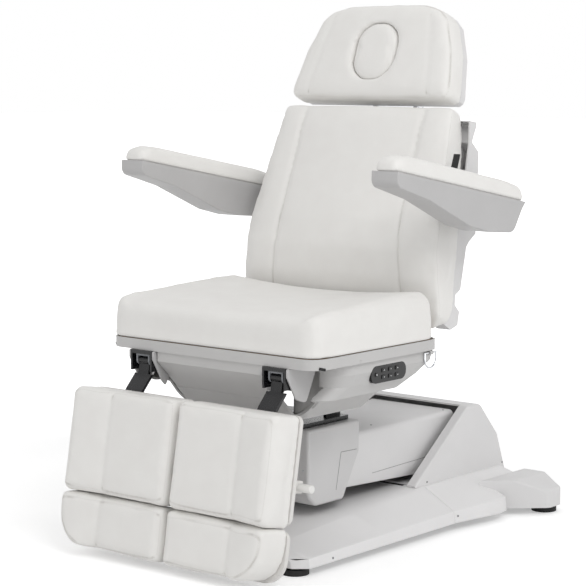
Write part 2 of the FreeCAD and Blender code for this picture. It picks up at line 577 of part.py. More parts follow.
def rear_outrigger():
    """Cross beam on the rear feet, with two wings that taper to their tips."""
    body = new_body("rear_outrigger")
    extrude(body, "Z", [box_path(-s.wing_root_half, s.wing_root_half, s.wing_heart_front,
                                 s.wing_heart_rear)], "cover_floor", "wing_heart_top")
    for side in (-1, 1):
        plan = [(s.wing_root_half, s.wing_root_front), (s.wing_elbow_half, s.wing_root_front),
                (s.wing_half, s.wing_tip_front, s.wing_corner),
                (s.wing_half, s.wing_tip_rear, s.wing_corner),
                (s.wing_elbow_half, s.wing_rear), (s.wing_root_half, s.wing_rear)]
        extrude(body, "Z", [corner_path([(side * c[0],) + c[1:] for c in plan])],
                "cover_floor", "wing_root_top")
        # The top falls towards the tip
        cut(body, "Y", [corner_path([(side * s.wing_root_half, s.wing_root_top + s.overrun),
                                     (side * s.wing_root_half, s.wing_root_top),
                                     (side * s.wing_elbow_half, s.wing_root_top),
                                     (side * s.wing_half, s.wing_tip_top),
                                     (side * (s.wing_half + s.overrun), s.wing_tip_top),
                                     (side * (s.wing_half + s.overrun),
                                      s.wing_root_top + s.overrun)])],
            "wing_root_front - overrun", "wing_rear + overrun")


def tower_cover():
    """Hood over the lift cheeks, with an open front between its two legs."""
    body = new_body("tower_cover")
    tail_run = (s.tower_tail - s.rear_foot_depth) / (s.cover_tail - s.rear_foot_depth)
    tail_height = s.ridge_split + (s.ridge_tail - s.ridge_split) * tail_run
    outline = [(s.tower_foot_front, s.ridge_split), (s.rear_foot_depth, s.ridge_split),
               (s.tower_tail, tail_height),
               (s.tower_shoulder_depth, s.tower_shoulder, s.tower_bend),
               (s.tower_top_rear, s.tower_top, s.tower_bend),
               (s.tower_top_front, s.tower_top, s.tower_round),
               (s.tower_foot_front, s.tower_foot)]
    extrude(body, "X", [corner_path(outline)], "-tower_half", "tower_half")
    round_edges(body, "tower_round", lambda edge: abs(abs(edge.CenterOfMass.x) - s.tower_half) < TINY
                and edge.CenterOfMass.z > s.tower_foot)
    inner = moved(inset(outline, s.shell_wall), (0, 1, 2), 0, -s.shell_wall - s.overrun)
    cut(body, "X", [corner_path(inner)], "-tower_half + shell_wall", "tower_half - shell_wall")
    cut(body, "X", [box_path(s.tower_foot_front - s.overrun, s.tower_roof_front,
                             s.ridge_split - s.overrun, s.tower_top + s.overrun)],
        "-tower_slot_half", "tower_slot_half")


def control_box():
    body = new_body("control_box")
    floor = s.cover_floor + s.rail_height
    half = s.control_box_width / 2
    extrude(body, "Z", [box_path(-s.control_box_side - half, -s.control_box_side + half,
                                 s.control_box_depth, s.control_box_depth + s.control_box_length,
                                 s.soft_edge)],
            str(floor), f"{floor} + control_box_height")


def power_inlet():
    """Panel inlet with a flange outside the cover and three flat contacts in its recess."""
    body = new_body("power_inlet")
    half = s.inlet_width / 2
    rise = s.inlet_height / 2
    a, b = s.inlet_side, s.inlet_level
    extrude(body, "Y", [box_path(a - half, a + half, b - rise, b + rise, s.soft_edge)],
            "cover_tail - inlet_depth", "cover_tail + inlet_flange")
    rim = s.inlet_flange
    extrude(body, "Y", [box_path(a - half - rim, a + half + rim, b - rise - rim, b + rise + rim,
                                 s.soft_edge)], "cover_tail", "cover_tail + inlet_flange")
    edge = s.inlet_rim
    cut(body, "Y", [box_path(a - half + edge, a + half - edge, b - rise + edge, b + rise - edge,
                             s.soft_edge)],
        "cover_tail + inlet_flange - inlet_recess", "cover_tail + inlet_flange + overrun")
    blade = s.inlet_blade_width / 2
    pitch = (half - edge) / 2
    for step in (-1, 0, 1):
        middle = a + step * pitch
        extrude(body, "Y", [box_path(middle - blade / 2, middle + blade / 2, b - blade, b + blade)],
                "cover_tail + inlet_flange - inlet_recess - soft_edge", "cover_tail")


def actuator(label, side, level, front, rear, bore_front, rod_reach):
    """Square motor body along the depth with the bore that its rod runs in."""
    body = new_body(label)
    half = s.actuator_half
    extrude(body, "Y", [box_path(side - half, side + half, level - half, level + half,
                                 s.soft_edge)], front, rear)
    cut(body, "Y", [circle(side, level, s.rod_radius + s.pin_gap)], bore_front, rod_reach)
    return body


def rod_with_eye(label, side, end, level, slack, front):
    """Round rod along the depth, whose oversize eye leaves its pin free to rise and fall."""
    body = new_body(label)
    eye = s.rod_pin + slack
    extrude(body, "Y", [circle(side, level, s.rod_radius)], front, str(end))
    extrude(body, "X", [circle(end, level, eye + s.rod_eye_wall)],
            f"{side} - rod_eye_thick / 2", f"{side} + rod_eye_thick / 2")
    cut(body, "X", [circle(end, level, eye)], f"{side} - rod_eye_thick", f"{side} + rod_eye_thick")
    return body


def lift_actuator():
    level = mean_height(LIFT_TOP, s.lift_lever, s.lift_range)
    body = actuator("lift_actuator", s.lever_side, level, "lift_body_front", "lift_body_rear",
                    "lift_body_front + rod_stay", "lift_body_rear + overrun")
    floor = s.cover_floor + s.rail_height
    for front in ("cross_middle", "cross_rear"):
        extrude(body, "Y", [box_path(s.lever_side - s.actuator_half, s.lever_side + s.actuator_half,
                                     floor, level - s.actuator_half + s.soft_edge)],
                front, f"min({front} + cross_width; lift_body_rear)")


def lift_actuator_rod():
    level = mean_height(LIFT_TOP, s.lift_lever, s.lift_range)
    rod_with_eye("lift_actuator_rod", s.lever_side, LIFT_LEVER[0], level, s.lift_slack,
                 "lift_body_rear - rod_stay")


# Lift
def lift_arm():
    """Channel beam between two hubs, with the twin lever that the actuator pulls."""
    body = new_body("lift_arm")
    half = s.arm_beam_height / 2
    extrude(body, "X", [box_path(HEAD_TOP[0], LIFT_TOP[0], LIFT_TOP[1] - half, LIFT_TOP[1] + half)],
            "-arm_beam_half", "arm_beam_half")
    cut(body, "X", [box_path(HEAD_TOP[0] + s.arm_hub + s.steel_wall,
                             LIFT_TOP[0] - s.arm_hub - s.steel_wall,
                             LIFT_TOP[1] - half - s.overrun, LIFT_TOP[1] + half - s.steel_wall)],
        "-arm_beam_half + steel_wall", "arm_beam_half - steel_wall")
    spans = ((LIFT_TOP, "cheek_side - cheek_thick - run_gap"),
             (HEAD_TOP, "head_plate_side - head_plate_thick - run_gap"))
    for centre, reach in spans:
        extrude(body, "X", [circle(*centre, s.arm_hub)], f"-({reach})", reach)
    slope = math.radians(s.lift_range / 2)
    across = V(math.cos(slope), math.sin(slope), 0) * s.lever_end
    lever = [(LIFT_TOP[0] + across.x, LIFT_TOP[1] + across.y),
             (LIFT_TOP[0] - across.x, LIFT_TOP[1] - across.y),
             (LIFT_LEVER[0] - across.x, LIFT_LEVER[1] - across.y),
             (LIFT_LEVER[0] + across.x, LIFT_LEVER[1] + across.y)]
    gap = "(rod_eye_thick / 2 + run_gap)"
    for low, high in (("lever_side + " + gap, "lever_side + lever_thick + " + gap),
                      ("lever_side - lever_thick - " + gap, "lever_side - " + gap)):
        extrude(body, "X", [corner_path(lever)], low, high)
        extrude(body, "X", [circle(*LIFT_LEVER, s.lever_end)], low, high)
    for centre, reach in spans:
        cut(body, "X", [circle(*centre, s.lift_pin + s.pin_gap)], f"-({reach})", reach)
    # Posts that the cover rests on
    for depth in (s.post_front, s.post_rear):
        extrude(body, "Z", [circle(0, depth, s.post_radius)],
                "lift_pivot_height + arm_beam_height / 2 - steel_wall",
                "arm_cover_top - shell_wall - run_gap")
    extrude(body, "X", [circle(*LIFT_LEVER, s.rod_pin)],
            "lever_side - lever_thick - " + gap, "lever_side + lever_thick + " + gap)


def lift_arm_cover():
    """Long hood over the arm, open underneath and at both ends."""
    body = new_body("lift_arm_cover")
    tail = s.lift_pivot_depth + s.arm_cover_tail

    def section(floor, wall=0.0):
        half = s.arm_cover_half - wall
        top = s.arm_cover_top - wall
        low = floor - (s.overrun if wall else 0)
        return corner_path([(-half + s.arm_cover_lean, low), (half - s.arm_cover_lean, low),
                            (half, floor + s.arm_cover_bevel),
                            (half, top, s.arm_cover_round - wall),
                            (-half, top, s.arm_cover_round - wall),
                            (-half, floor + s.arm_cover_bevel)])
    loft(body, "Y", [("arm_cover_front", section(s.arm_cover_front_floor)),
                     (tail, section(s.arm_cover_tail_floor))])
    hollow(body, "Y", [("arm_cover_front - overrun", section(s.arm_cover_front_floor, s.shell_wall)),
                       (tail + s.overrun, section(s.arm_cover_tail_floor, s.shell_wall))])


def lower_link():
    body = new_body("lower_link")
    low, high = "link_side - link_width / 2", "link_side + link_width / 2"
    half = s.link_height / 2
    extrude(body, "X", [box_path(HEAD_LOW[0], LIFT_LOW[0], LIFT_LOW[1] - half, LIFT_LOW[1] + half)],
            low, high)
    for centre, gap in ((LIFT_LOW, s.pin_gap), (HEAD_LOW, s.run_gap)):
        extrude(body, "X", [circle(*centre, s.link_eye)], low, high)
        cut(body, "X", [circle(*centre, s.link_pin + gap)], low, high)


# Lift head
def lift_head_frame():
    """Side plates on the arm's front pins, a deck above them and the ears of the seat tilt."""
    body = new_body("lift_head_frame")
    deck_floor = s.head_top + s.run_gap
    deck_top = deck_floor + s.deck_thick
    plate = corner_path([(s.head_plate_front, deck_floor), (s.head_plate_front, s.head_plate_toe),
                         (HEAD_TOP[0] - s.arm_hub, s.head_plate_floor, s.cheek_corner),
                         (s.head_plate_rear, s.head_plate_floor, s.soft_edge),
                         (s.head_plate_rear, deck_floor)])
    for low, high in sides("head_plate_side - head_plate_thick", "head_plate_side"):
        extrude(body, "X", [plate], low, high)
    extrude(body, "Z", [box_path(-s.deck_half, s.deck_half, s.deck_front, s.deck_rear,
                                 s.soft_edge)], str(deck_floor), str(deck_top))
    cut(body, "Z", [circle(0, TILT_LEVER[0], s.rod_mouth / 2)], str(deck_floor - s.overrun),
        str(deck_top + s.overrun))
    for low, high in sides("tilt_ear_side - ear_thick", "tilt_ear_side"):
        ear(body, TILT, s.tilt_ear, (TILT[0] - 2 * s.tilt_ear, s.deck_rear, deck_top), low, high)
    extrude(body, "X", [circle(*TILT, s.tilt_pin)], "-tilt_ear_side - pin_head",
            "tilt_ear_side + pin_head")
    extrude(body, "X", [circle(*HEAD_TOP, s.lift_pin)], "-head_plate_side - pin_head",
            "head_plate_side + pin_head")
    extrude(body, "X", [circle(*HEAD_LOW, s.link_pin)], "-head_plate_side - pin_head",
            "link_pin_inner")


def lift_head_cover():
    """Housing round the head, open at its rear and under the arm."""
    body = new_body("lift_head_cover")
    outline = [(s.head_front, s.head_floor + s.head_toe_rise, s.head_toe_round),
               (s.head_toe_depth, s.head_floor, s.head_toe_round),
               (s.head_heel_depth, s.head_floor), (s.head_waist_depth, s.head_waist),
               (s.head_rear, s.head_top), (s.head_front, s.head_top)]
    extrude(body, "X", [corner_path(outline)], "-head_half", "head_half")
    round_edges(body, "head_round", lambda edge: edge.CenterOfMass.z > s.head_waist and (
        abs(edge.CenterOfMass.y - s.head_front) < TINY
        or abs(edge.CenterOfMass.z - s.head_top) < TINY
        and abs(abs(edge.CenterOfMass.x) - s.head_half) < TINY))
    cut(body, "X", [corner_path(inset(outline, s.head_wall))], "-head_half + head_wall",
        "head_half - head_wall")
    cut(body, "X", [box_path(s.head_floor_rear, s.head_rear + s.overrun,
                             s.head_floor - s.overrun, s.head_top - s.head_wall)],
        "-head_half + head_wall", "head_half - head_wall")
    cut(body, "Z", [box_path(-s.head_mouth_half, s.head_mouth_half, s.head_mouth_front,
                             s.head_mouth_rear)], "head_top - 2 * head_wall", "head_top + overrun")


def tilt_actuator():
    """Upright motor under the deck; its rod lifts the front of the seat."""
    body = new_body("tilt_actuator")
    half = s.actuator_half
    depth = TILT_LEVER[0]
    extrude(body, "Z", [box_path(-half, half, depth - half, depth + half, s.soft_edge)],
            "tilt_body_floor", "head_top + run_gap")
    cut(body, "Z", [circle(0, depth, s.rod_radius + s.pin_gap)], "tilt_body_floor + actuator_wall",
        "head_top + overrun")


def tilt_actuator_rod():
    body = new_body("tilt_actuator_rod")
    eye = s.rod_pin + s.tilt_slack
    depth, level = TILT_LEVER
    extrude(body, "Z", [circle(0, depth, s.rod_radius)],
            "head_top - rod_stay", str(level))
    extrude(body, "X", [circle(depth, level, eye + s.rod_eye_wall)],
            "-rod_eye_thick / 2", "rod_eye_thick / 2")
    cut(body, "X", [circle(depth, level, eye)], "-rod_eye_thick", "rod_eye_thick")


# Seat
def board_floor():
    return s.seat_seam - s.board_thick


def seat_frame():
    """Rails and beams under the seat, with the leg beam, tilt hangers and back hinge plates."""
    body = new_body("seat_frame")
    floor, top = s.seat_frame_floor, board_floor()
    for low, high in sides("seat_frame_half - seat_rail_width", "seat_frame_half"):
        extrude(body, "X", [box_path(s.leg_beam_front, s.seat_frame_rear, floor, top)], low, high)
    beams = ((s.leg_beam_front, s.leg_beam_rear, "leg_beam_half"),
             (s.seat_frame_rear - s.seat_beam_width, s.seat_frame_rear, "rear_beam_half"),
             (TILT_LEVER[0] - s.seat_beam_width / 2, TILT_LEVER[0] + s.seat_beam_width / 2,
              "seat_frame_half"))
    for front, rear, half in beams:
        extrude(body, "X", [box_path(front, rear, floor, top)], f"-{half}", half)
    for low, high in sides("tilt_hanger_side - ear_thick", "tilt_hanger_side"):
        ear(body, TILT, s.tilt_ear, (TILT[0] - 2 * s.tilt_ear, TILT[0] + 2 * s.tilt_ear, floor),
            low, high)
        cut(body, "X", [circle(*TILT, s.tilt_pin + s.pin_gap)], low, high)
    gap = "rod_eye_thick / 2 + run_gap"
    reach = s.seat_beam_width / 2
    for low, high in sides(gap, gap + " + ear_thick"):
        ear(body, TILT_LEVER, s.rod_pin + s.rod_eye_wall,
            (TILT_LEVER[0] - reach, TILT_LEVER[0] + reach, floor), low, high)
    extrude(body, "X", [circle(*TILT_LEVER, s.rod_pin)], f"-({gap}) - ear_thick",
            gap + " + ear_thick")
    for plate in ("rear_beam_half", "hinge_inner_side"):
        for low, high in sides(plate + " - hinge_plate_thick", plate):
            extrude(body, "X", [corner_path([
                (s.seat_frame_rear, floor), (HINGE[0], HINGE[1] - s.back_eye),
                (HINGE[0], HINGE[1] + s.back_eye), (s.rim_rear, top),
                (s.seat_frame_rear, top)])], low, high)
            extrude(body, "X", [circle(*HINGE, s.back_eye)], low, high)
            cut(body, "X", [circle(*HINGE, s.back_pin + s.pin_gap)], low, high)


def seat_ring(half, front, rear, corner, wall=0.0):
    """Plan outline of the seat shell at one level; with a wall it is the inside."""
    return box_path(-half + wall, half - wall, front + wall, rear - wall, corner - wall)


def seat_levels():
    """Level, half width, front, rear and corner down the seat shell's bowl and funnel."""
    top = s.seat_seam - s.rim_depth + s.cover_joint
    return [(top, s.bowl_half, s.bowl_front, s.bowl_rear, s.bowl_corner),
            (s.bowl_mid, s.bowl_half, s.bowl_front, s.rim_rear, s.bowl_corner),
            (s.bowl_low, s.bowl_low_half, s.bowl_front, s.bowl_low_rear, s.bowl_corner),
            (s.bowl_ledge, s.bowl_ledge_half, s.bowl_ledge_front, s.bowl_ledge_rear,
             s.bowl_corner),
            (s.funnel_root, s.funnel_root_half, s.bowl_ledge_front, s.bowl_ledge_rear,
             s.funnel_corner),
            (s.funnel_floor, s.funnel_half, s.funnel_front, s.funnel_rear, s.funnel_corner)]


def seat_shell():
    """Moulded tray under the seat: rim, bowl, sloped apron and the funnel over the lift head."""
    body = new_body("seat_shell")
    rim_floor = s.seat_seam - s.rim_depth
    wall = s.shell_wall
    rim = (s.seat_half, 0, s.rim_rear, s.rim_corner)
    extrude(body, "Z", [seat_ring(*rim)], "seat_seam - rim_depth", "seat_seam")
    cut(body, "Z", [seat_ring(*rim, wall)], "seat_seam - rim_depth + shell_wall",
        "seat_seam + overrun")
    apron = [(s.apron_front, s.seat_seam - s.apron_drop), (s.funnel_front, s.funnel_floor),
             (s.apron_rear, s.funnel_floor), (s.apron_rear, rim_floor + s.cover_joint),
             (s.apron_front, rim_floor + s.cover_joint)]
    extrude(body, "X", [corner_path(apron)], "-apron_half", "apron_half")
    levels = seat_levels()
    loft(body, "Z", [(level, seat_ring(*ring)) for level, *ring in levels])
    inner = [(level + wall, seat_ring(*ring, wall)) for level, *ring in levels]
    inner[0] = (levels[0][0] + wall + s.overrun, inner[0][1])
    inside = moved(moved(inset(apron, wall), (3, 4), 0, 2 * wall + s.overrun), (2, 3),
                   s.overrun + wall, 0)
    cut(body, "X", [corner_path(inside)], "-apron_half + shell_wall", "apron_half - shell_wall")
    hollow(body, "Z", inner)
    # Notches for the leg brackets and ways through for the leg beam
    for low, high in sides("notch_inner", "notch_outer"):
        cut(body, "X", [box_path(-s.overrun, s.notch_rear, s.funnel_floor, rim_floor)], low, high)
    gap = s.beam_gap
    cut(body, "X", [box_path(s.leg_beam_front - gap, s.leg_beam_rear + gap,
                             s.seat_frame_floor - gap, board_floor() + gap)],
        "-leg_beam_half - beam_gap", "leg_beam_half + beam_gap")
    # Openings over the lift head and for the back's hinge and lever
    cut(body, "X", [box_path(s.floor_mouth_front, s.floor_mouth_rear, s.funnel_floor - s.overrun,
                             s.tilt_height + s.tilt_ear + s.wing_gap)],
        "-tilt_ear_side - tilt_ear", "tilt_ear_side + tilt_ear")
    cut(body, "X", [box_path(s.bowl_rear - s.rear_slot_depth, s.bowl_rear + s.overrun,
                             s.rear_slot_floor, s.rear_slot_top)],
        "-rear_slot_half", "rear_slot_half")
    cut(body, "X", [box_path(s.bowl_ledge_rear, s.bowl_rear + s.overrun, s.lever_slot_floor,
                             s.rear_slot_floor + s.overrun)],
        "-lever_slot_half", "lever_slot_half")
    # Seat for the keypad and the boss that the ring hangs in
    cut(body, "X", [keypad_outline()], "bowl_ledge_half", "bowl_half + overrun")
    middle = "(bowl_rear - ring_inset)"
    extrude(body, "Y", [circle(s.ring_side, s.ring_level, s.ring_boss)],
            f"{middle} - ring_boss_length / 2", f"{middle} + ring_boss_length / 2")
    cut(body, "Y", [circle(s.ring_side, s.ring_level, s.ring_wire + s.run_gap)],
        f"{middle} - ring_boss_length", f"{middle} + ring_boss_length")


def seat_board():
    body = new_body("seat_board")
    edge = s.board_inset
    extrude(body, "Z", [seat_ring(s.seat_half, 0, s.rim_rear, s.rim_corner, edge)],
            "seat_seam - board_thick", "seat_seam")


def cushion_section(half, edge, bolster, dish):
    """Section across the seat cushion: straight sides, full shoulders and a dished middle."""
    bolster_x = half - s.cushion_shoulder
    floor = s.seat_seam
    return [Part.LineSegment(V(-half, floor, 0), V(half, floor, 0)),
            bow((half, floor), (half, floor + edge), s.cushion_bulge),
            bow((half, floor + edge), (bolster_x, floor + bolster), s.cushion_round),
            bow((bolster_x, floor + bolster), (-bolster_x, floor + bolster), dish - bolster),
            bow((-bolster_x, floor + bolster), (-half, floor + edge), s.cushion_round),
            bow((-half, floor + edge), (-half, floor), s.cushion_bulge)]


def seat_cushion():
    """Upholstered seat whose top rises to its sides and towards the rear."""
    body = new_body("seat_cushion")
    half = s.seat_half
    rows = [(0, s.cushion_nose_half, s.cushion_nose_edge, s.cushion_nose_top, s.cushion_nose_top)]
    for share, width_share, edge_share, height_share, dish_share in SEAT_SHARES:
        rows.append((share * s.cushion_rear, width_share * half, edge_share * s.cushion_edge,
                     height_share * s.cushion_bolster, dish_share * s.cushion_bolster))
    loft(body, "Y", [(depth, cushion_section(width, edge, bolster, dish))
                     for depth, width, edge, bolster, dish in rows])


def keypad_outline():
    half = s.keypad_length / 2
    rise = s.keypad_height / 2
    return box_path(s.keypad_depth - half, s.keypad_depth + half, s.keypad_level - rise,
                    s.keypad_level + rise, rise - s.soft_edge / 2)


def key_places():
    """Label and middle of each key: one round key and three pairs."""
    front = s.keypad_depth - s.keypad_length / 2
    places = [("key_power", front + s.key_power_inset, s.keypad_level)]
    for column in range(3):
        depth = front + s.key_row_start + column * s.key_pitch_y
        places.append((f"key_up_{column + 1}", depth, s.keypad_level + s.key_pitch_z / 2))
        places.append((f"key_down_{column + 1}", depth, s.keypad_level - s.key_pitch_z / 2))
    return places


def key_outline(label, depth, level, gap=0.0):
    half = s.key_size / 2 + gap
    if label == "key_power":
        return circle(depth, level, half)
    wide = half + s.key_stretch
    return box_path(depth - wide, depth + wide, level - half, level + half, s.key_corner + gap)


def keypad_bezel():
    body = new_body("keypad_bezel")
    extrude(body, "X", [keypad_outline()], "keypad_face - keypad_thick", "keypad_face")
    pockets = [key_outline(label, depth, level, s.key_gap) for label, depth, level in key_places()]
    cut(body, "X", pockets, "keypad_face - keypad_thick + key_floor", "keypad_face + overrun")


def keys():
    for label, depth, level in key_places():
        body = new_body(label)
        extrude(body, "X", [key_outline(label, depth, level)],
                "keypad_face - key_thick", "keypad_face + key_proud")


def d_ring():
    """Wire ring: a straight bar in the boss, two legs and a half-round foot."""
    wire = s.ring_wire
    radius = s.ring_width / 2 - wire
    leg = s.ring_drop - s.ring_width / 2
    side, depth, level = s.ring_side, s.bowl_rear - s.ring_inset, s.ring_level
    half = "(ring_width / 2 - ring_wire)"
    bar = cylinder("ring_top", "ring_wire", "2 * " + half, V(side, depth - radius, level), ALONG_Y)
    members = [bar]
    for way in (-1, 1):
        corner = V(side, depth + way * radius, level)
        members.append(cylinder("ring_leg", "ring_wire", "ring_drop - ring_width / 2",
                                corner - Z_WAY * leg))
        ball = doc.addObject("Part::Sphere", "ring_corner")
        ball.setExpression("Radius", bound("ring_wire"))
        ball.Placement = CHAIR.multiply(FreeCAD.Placement(corner, FreeCAD.Rotation()))
        members.append(ball)
    foot = doc.addObject("Part::Torus", "ring_foot")
    foot.setExpression("Radius1", bound(half))
    foot.setExpression("Radius2", bound("ring_wire"))
    foot.Angle3 = 180
    turn = FreeCAD.Rotation(V(0, 1, 0), V(0, 0, -1), V(-1, 0, 0), "XYZ")
    foot.Placement = CHAIR.multiply(FreeCAD.Placement(V(side, depth, level - leg), turn))
    members.append(foot)
    ring = fuse("d_ring", members)
    ring.Label = "d_ring"
    nodes.append(ring)


def leg_brackets():
    """Two boxes, open in front and underneath, that hold the upright pins of the leg rests."""
    body = new_body("leg_brackets")
    roof = s.seat_seam - s.rim_depth - s.run_gap
    for side in (-1, 1):
        low, high = side_span(side, "leg_side - leg_box_half", "leg_side + leg_box_half")
        extrude(body, "X", [box_path(s.leg_box_front, s.leg_beam_front, s.leg_box_floor, roof)],
                low, high)
        low, high = side_span(side, "leg_side - leg_box_half + leg_box_wall",
                              "leg_side + leg_box_half - leg_box_wall")
        cut(body, "X", [box_path(s.leg_box_front - s.overrun, s.leg_beam_front - s.leg_box_wall,
                                 s.leg_box_floor - s.overrun, roof - s.leg_box_roof)], low, high)
        cut(body, "Z", [circle(side * s.leg_side, s.leg_hinge_depth, s.swivel_pin + s.pin_gap)],
            f"{roof} - leg_box_roof - overrun", f"{roof} + overrun")


def leg_cheeks():
    """Grey side plates beside each bracket: a long outer one and a horn-shaped inner one."""
    body = new_body("leg_cheeks")
    top = s.seat_seam - s.rim_depth - s.run_gap
    drop = top - s.cheek_foot
    front = s.leg_box_front
    outer = [(front, top), (front, top - drop * CHEEK_LIP_SHARE),
             (s.cheek_toe_depth, s.cheek_foot + s.cheek_toe, s.cheek_toe),
             (s.cheek_heel_depth, s.cheek_foot, s.cheek_toe),
             (s.cheek_tail, top - drop * CHEEK_LIP_SHARE), (s.cheek_tail, top)]
    inner = [(front, top), (front, top - drop * CHEEK_LIP_SHARE),
             (s.horn_depth, s.cheek_foot + s.cheek_toe, s.cheek_toe),
             (s.horn_depth + s.cheek_toe, s.cheek_foot, s.soft_edge),
             (s.leg_beam_rear, top - drop * CHEEK_LIP_SHARE), (s.leg_beam_rear, top)]
    for side in (-1, 1):
        low, high = side_span(side, "leg_side + leg_box_half", "leg_side + leg_box_half + cheek_plate")
        extrude(body, "X", [corner_path(outer)], low, high)
        low, high = side_span(side, "leg_side - leg_box_half - cheek_plate", "leg_side - leg_box_half")
        extrude(body, "X", [corner_path(inner)], low, high)
        cut(body, "X", [box_path(s.leg_beam_front - s.run_gap, s.leg_beam_rear + s.overrun,
                                 s.seat_frame_floor - s.run_gap, top + s.overrun)], low, high)


def back_actuator():
    level = mean_height(HINGE, s.back_lever, s.back_range)
    beam_rear = TILT_LEVER[0] + s.seat_beam_width / 2
    actuator("back_actuator", 0, level, str(beam_rear), "back_body_rear",
             f"{beam_rear} + rod_stay", "back_body_rear + overrun")


def back_actuator_rod():
    level = mean_height(HINGE, s.back_lever, s.back_range)
    rod_with_eye("back_actuator_rod", 0, BACK_LEVER[0], level, s.back_slack,
                 "back_body_rear - rod_stay")


# Back
def back_rows():
    """Level, half width, front, rear and channel place up the back cushion."""
    return [(level * s.back_top, half * s.back_cushion_half, -front * s.back_cushion_depth,
             rear * s.back_cushion_depth, channel * s.back_cushion_half)
            for level, half, front, rear, channel in BACK_SHARES]


def cushion_rear(level):
    """Depth of the back cushion's rear face at a level."""
    return between([(row[0], row[3]) for row in back_rows()], level)


def back_section(half, front, rear, channel, crown):
    """Section of the back cushion: drawn-in sides, two bolsters, channels and a crowned middle."""
    tuck = s.back_tuck
    groove = s.channel_width / 2
    floor = front + s.channel_depth
    corner = front + s.back_tuck
    return [Part.LineSegment(V(half - tuck, rear, 0), V(-half + tuck, rear, 0)),
            bow((-half + tuck, rear), (-half, corner), s.back_side_bulge),
            bow((-half, corner), (-channel - groove, front), s.bolster_crown),
            Part.LineSegment(V(-channel - groove, front, 0), V(-channel, floor, 0)),
            Part.LineSegment(V(-channel, floor, 0), V(-channel + groove, front, 0)),
            bow((-channel + groove, front), (channel - groove, front), s.back_crown * crown),
            Part.LineSegment(V(channel - groove, front, 0), V(channel, floor, 0)),
            Part.LineSegment(V(channel, floor, 0), V(channel + groove, front, 0)),
            bow((channel + groove, front), (half, corner), s.bolster_crown),
            bow((half, corner), (half - tuck, rear), s.back_side_bulge)]


def back_cushion():
    body = new_body("back_cushion", BACK)
    loft(body, "Z", [(row[0], back_section(*row[1:], crown))
                     for row, crown in zip(back_rows(), CROWN_SHARES)])


def pod_outline():
    """Side outline of the shell's outer pods, anticlockwise from the foot."""
    rear = [(level * s.back_top, depth * s.pod_depth) for level, depth in POD_SHARES]
    front = [(row[0], cushion_rear(row[0]) + s.pad_gap) for row in back_rows()[1:-1]]
    return [(depth, level) for level, depth in rear] + [(depth, level)
                                                        for level, depth in reversed(front)]


def tray_outline():
    """Side outline of the shell's middle, anticlockwise from the foot."""
    rear = [(level * s.back_top, depth * s.pod_depth) for level, depth in TRAY_SHARES]
    front = [(row[0], cushion_rear(row[0]) + s.pad_gap) for row in back_rows()[1:-1]]
    return [(depth, level) for level, depth in rear] + [(depth, level)
                                                        for level, depth in reversed(front)]


def opened_front(outline, count):
    """The inside of a tray: drawn in by its wall, and open towards the cushion."""
    picks = range(len(outline) - count, len(outline))
    return moved(inset(outline, s.back_wall), picks, -s.overrun - 2 * s.back_wall, 0)


def back_shell():
    """Open tray behind the cushion: deep pods at the sides and a spine over the guide tubes."""
    body = new_body("back_shell", BACK)
    front_count = len(back_rows()) - 2
    tray, pods = tray_outline(), pod_outline()
    extrude(body, "X", [corner_path(tray)], "-back_half + pod_width", "back_half - pod_width")
    spans = sides("back_half - pod_width - back_wall", "back_half")
    for low, high in spans:
        extrude(body, "X", [corner_path(pods)], low, high)
    spine = [(s.spine_root, s.spine_floor), (s.spine_rear, s.spine_floor + s.spine_chamfer),
             (s.spine_rear, s.back_top - s.spine_chamfer), (s.spine_root, s.back_top),
             (cushion_rear(s.back_top) + 2 * s.back_tuck, s.back_top),
             (cushion_rear(s.spine_floor) + 2 * s.back_tuck, s.spine_floor)]
    extrude(body, "X", [corner_path(spine)], "-spine_half", "spine_half")
    cut(body, "X", [corner_path(opened_front(tray, front_count))], "-back_half + back_wall",
        "back_half - back_wall")
    for low, high in sides("back_half - pod_width", "back_half - back_wall"):
        cut(body, "X", [corner_path(opened_front(pods, front_count))], low, high)
    cut(body, "X", [corner_path(moved(inset(spine, s.back_wall), (4, 5), -s.back_tuck, 0))],
        "-spine_half + back_wall", "spine_half - back_wall")
    # Ways through for the frame's bars, the armrest shaft and the headrest rods
    foot = TRAY_SHARES[0][0] * s.back_top
    depth = cushion_rear(foot) + s.bar_gap
    for low, high in sides("back_bar_side - back_bar_width / 2 - run_gap",
                           "back_bar_side + back_bar_width / 2 + run_gap"):
        cut(body, "X", [box_path(depth - s.back_wall, depth + s.back_bar_depth + s.back_wall,
                                 foot - 2 * s.back_wall, foot + 2 * s.back_wall)], low, high)
    cut(body, "X", [circle(s.armrest_hub_depth, s.armrest_hub_level, s.armrest_pin + s.pin_gap)],
        "-back_half - overrun", "back_half + overrun")
    for side in (-1, 1):
        cut(body, "Z", [circle(side * s.guide_side, s.guide_depth, s.guide_radius + s.run_gap)],
            "guide_top - overrun", "back_top + overrun")


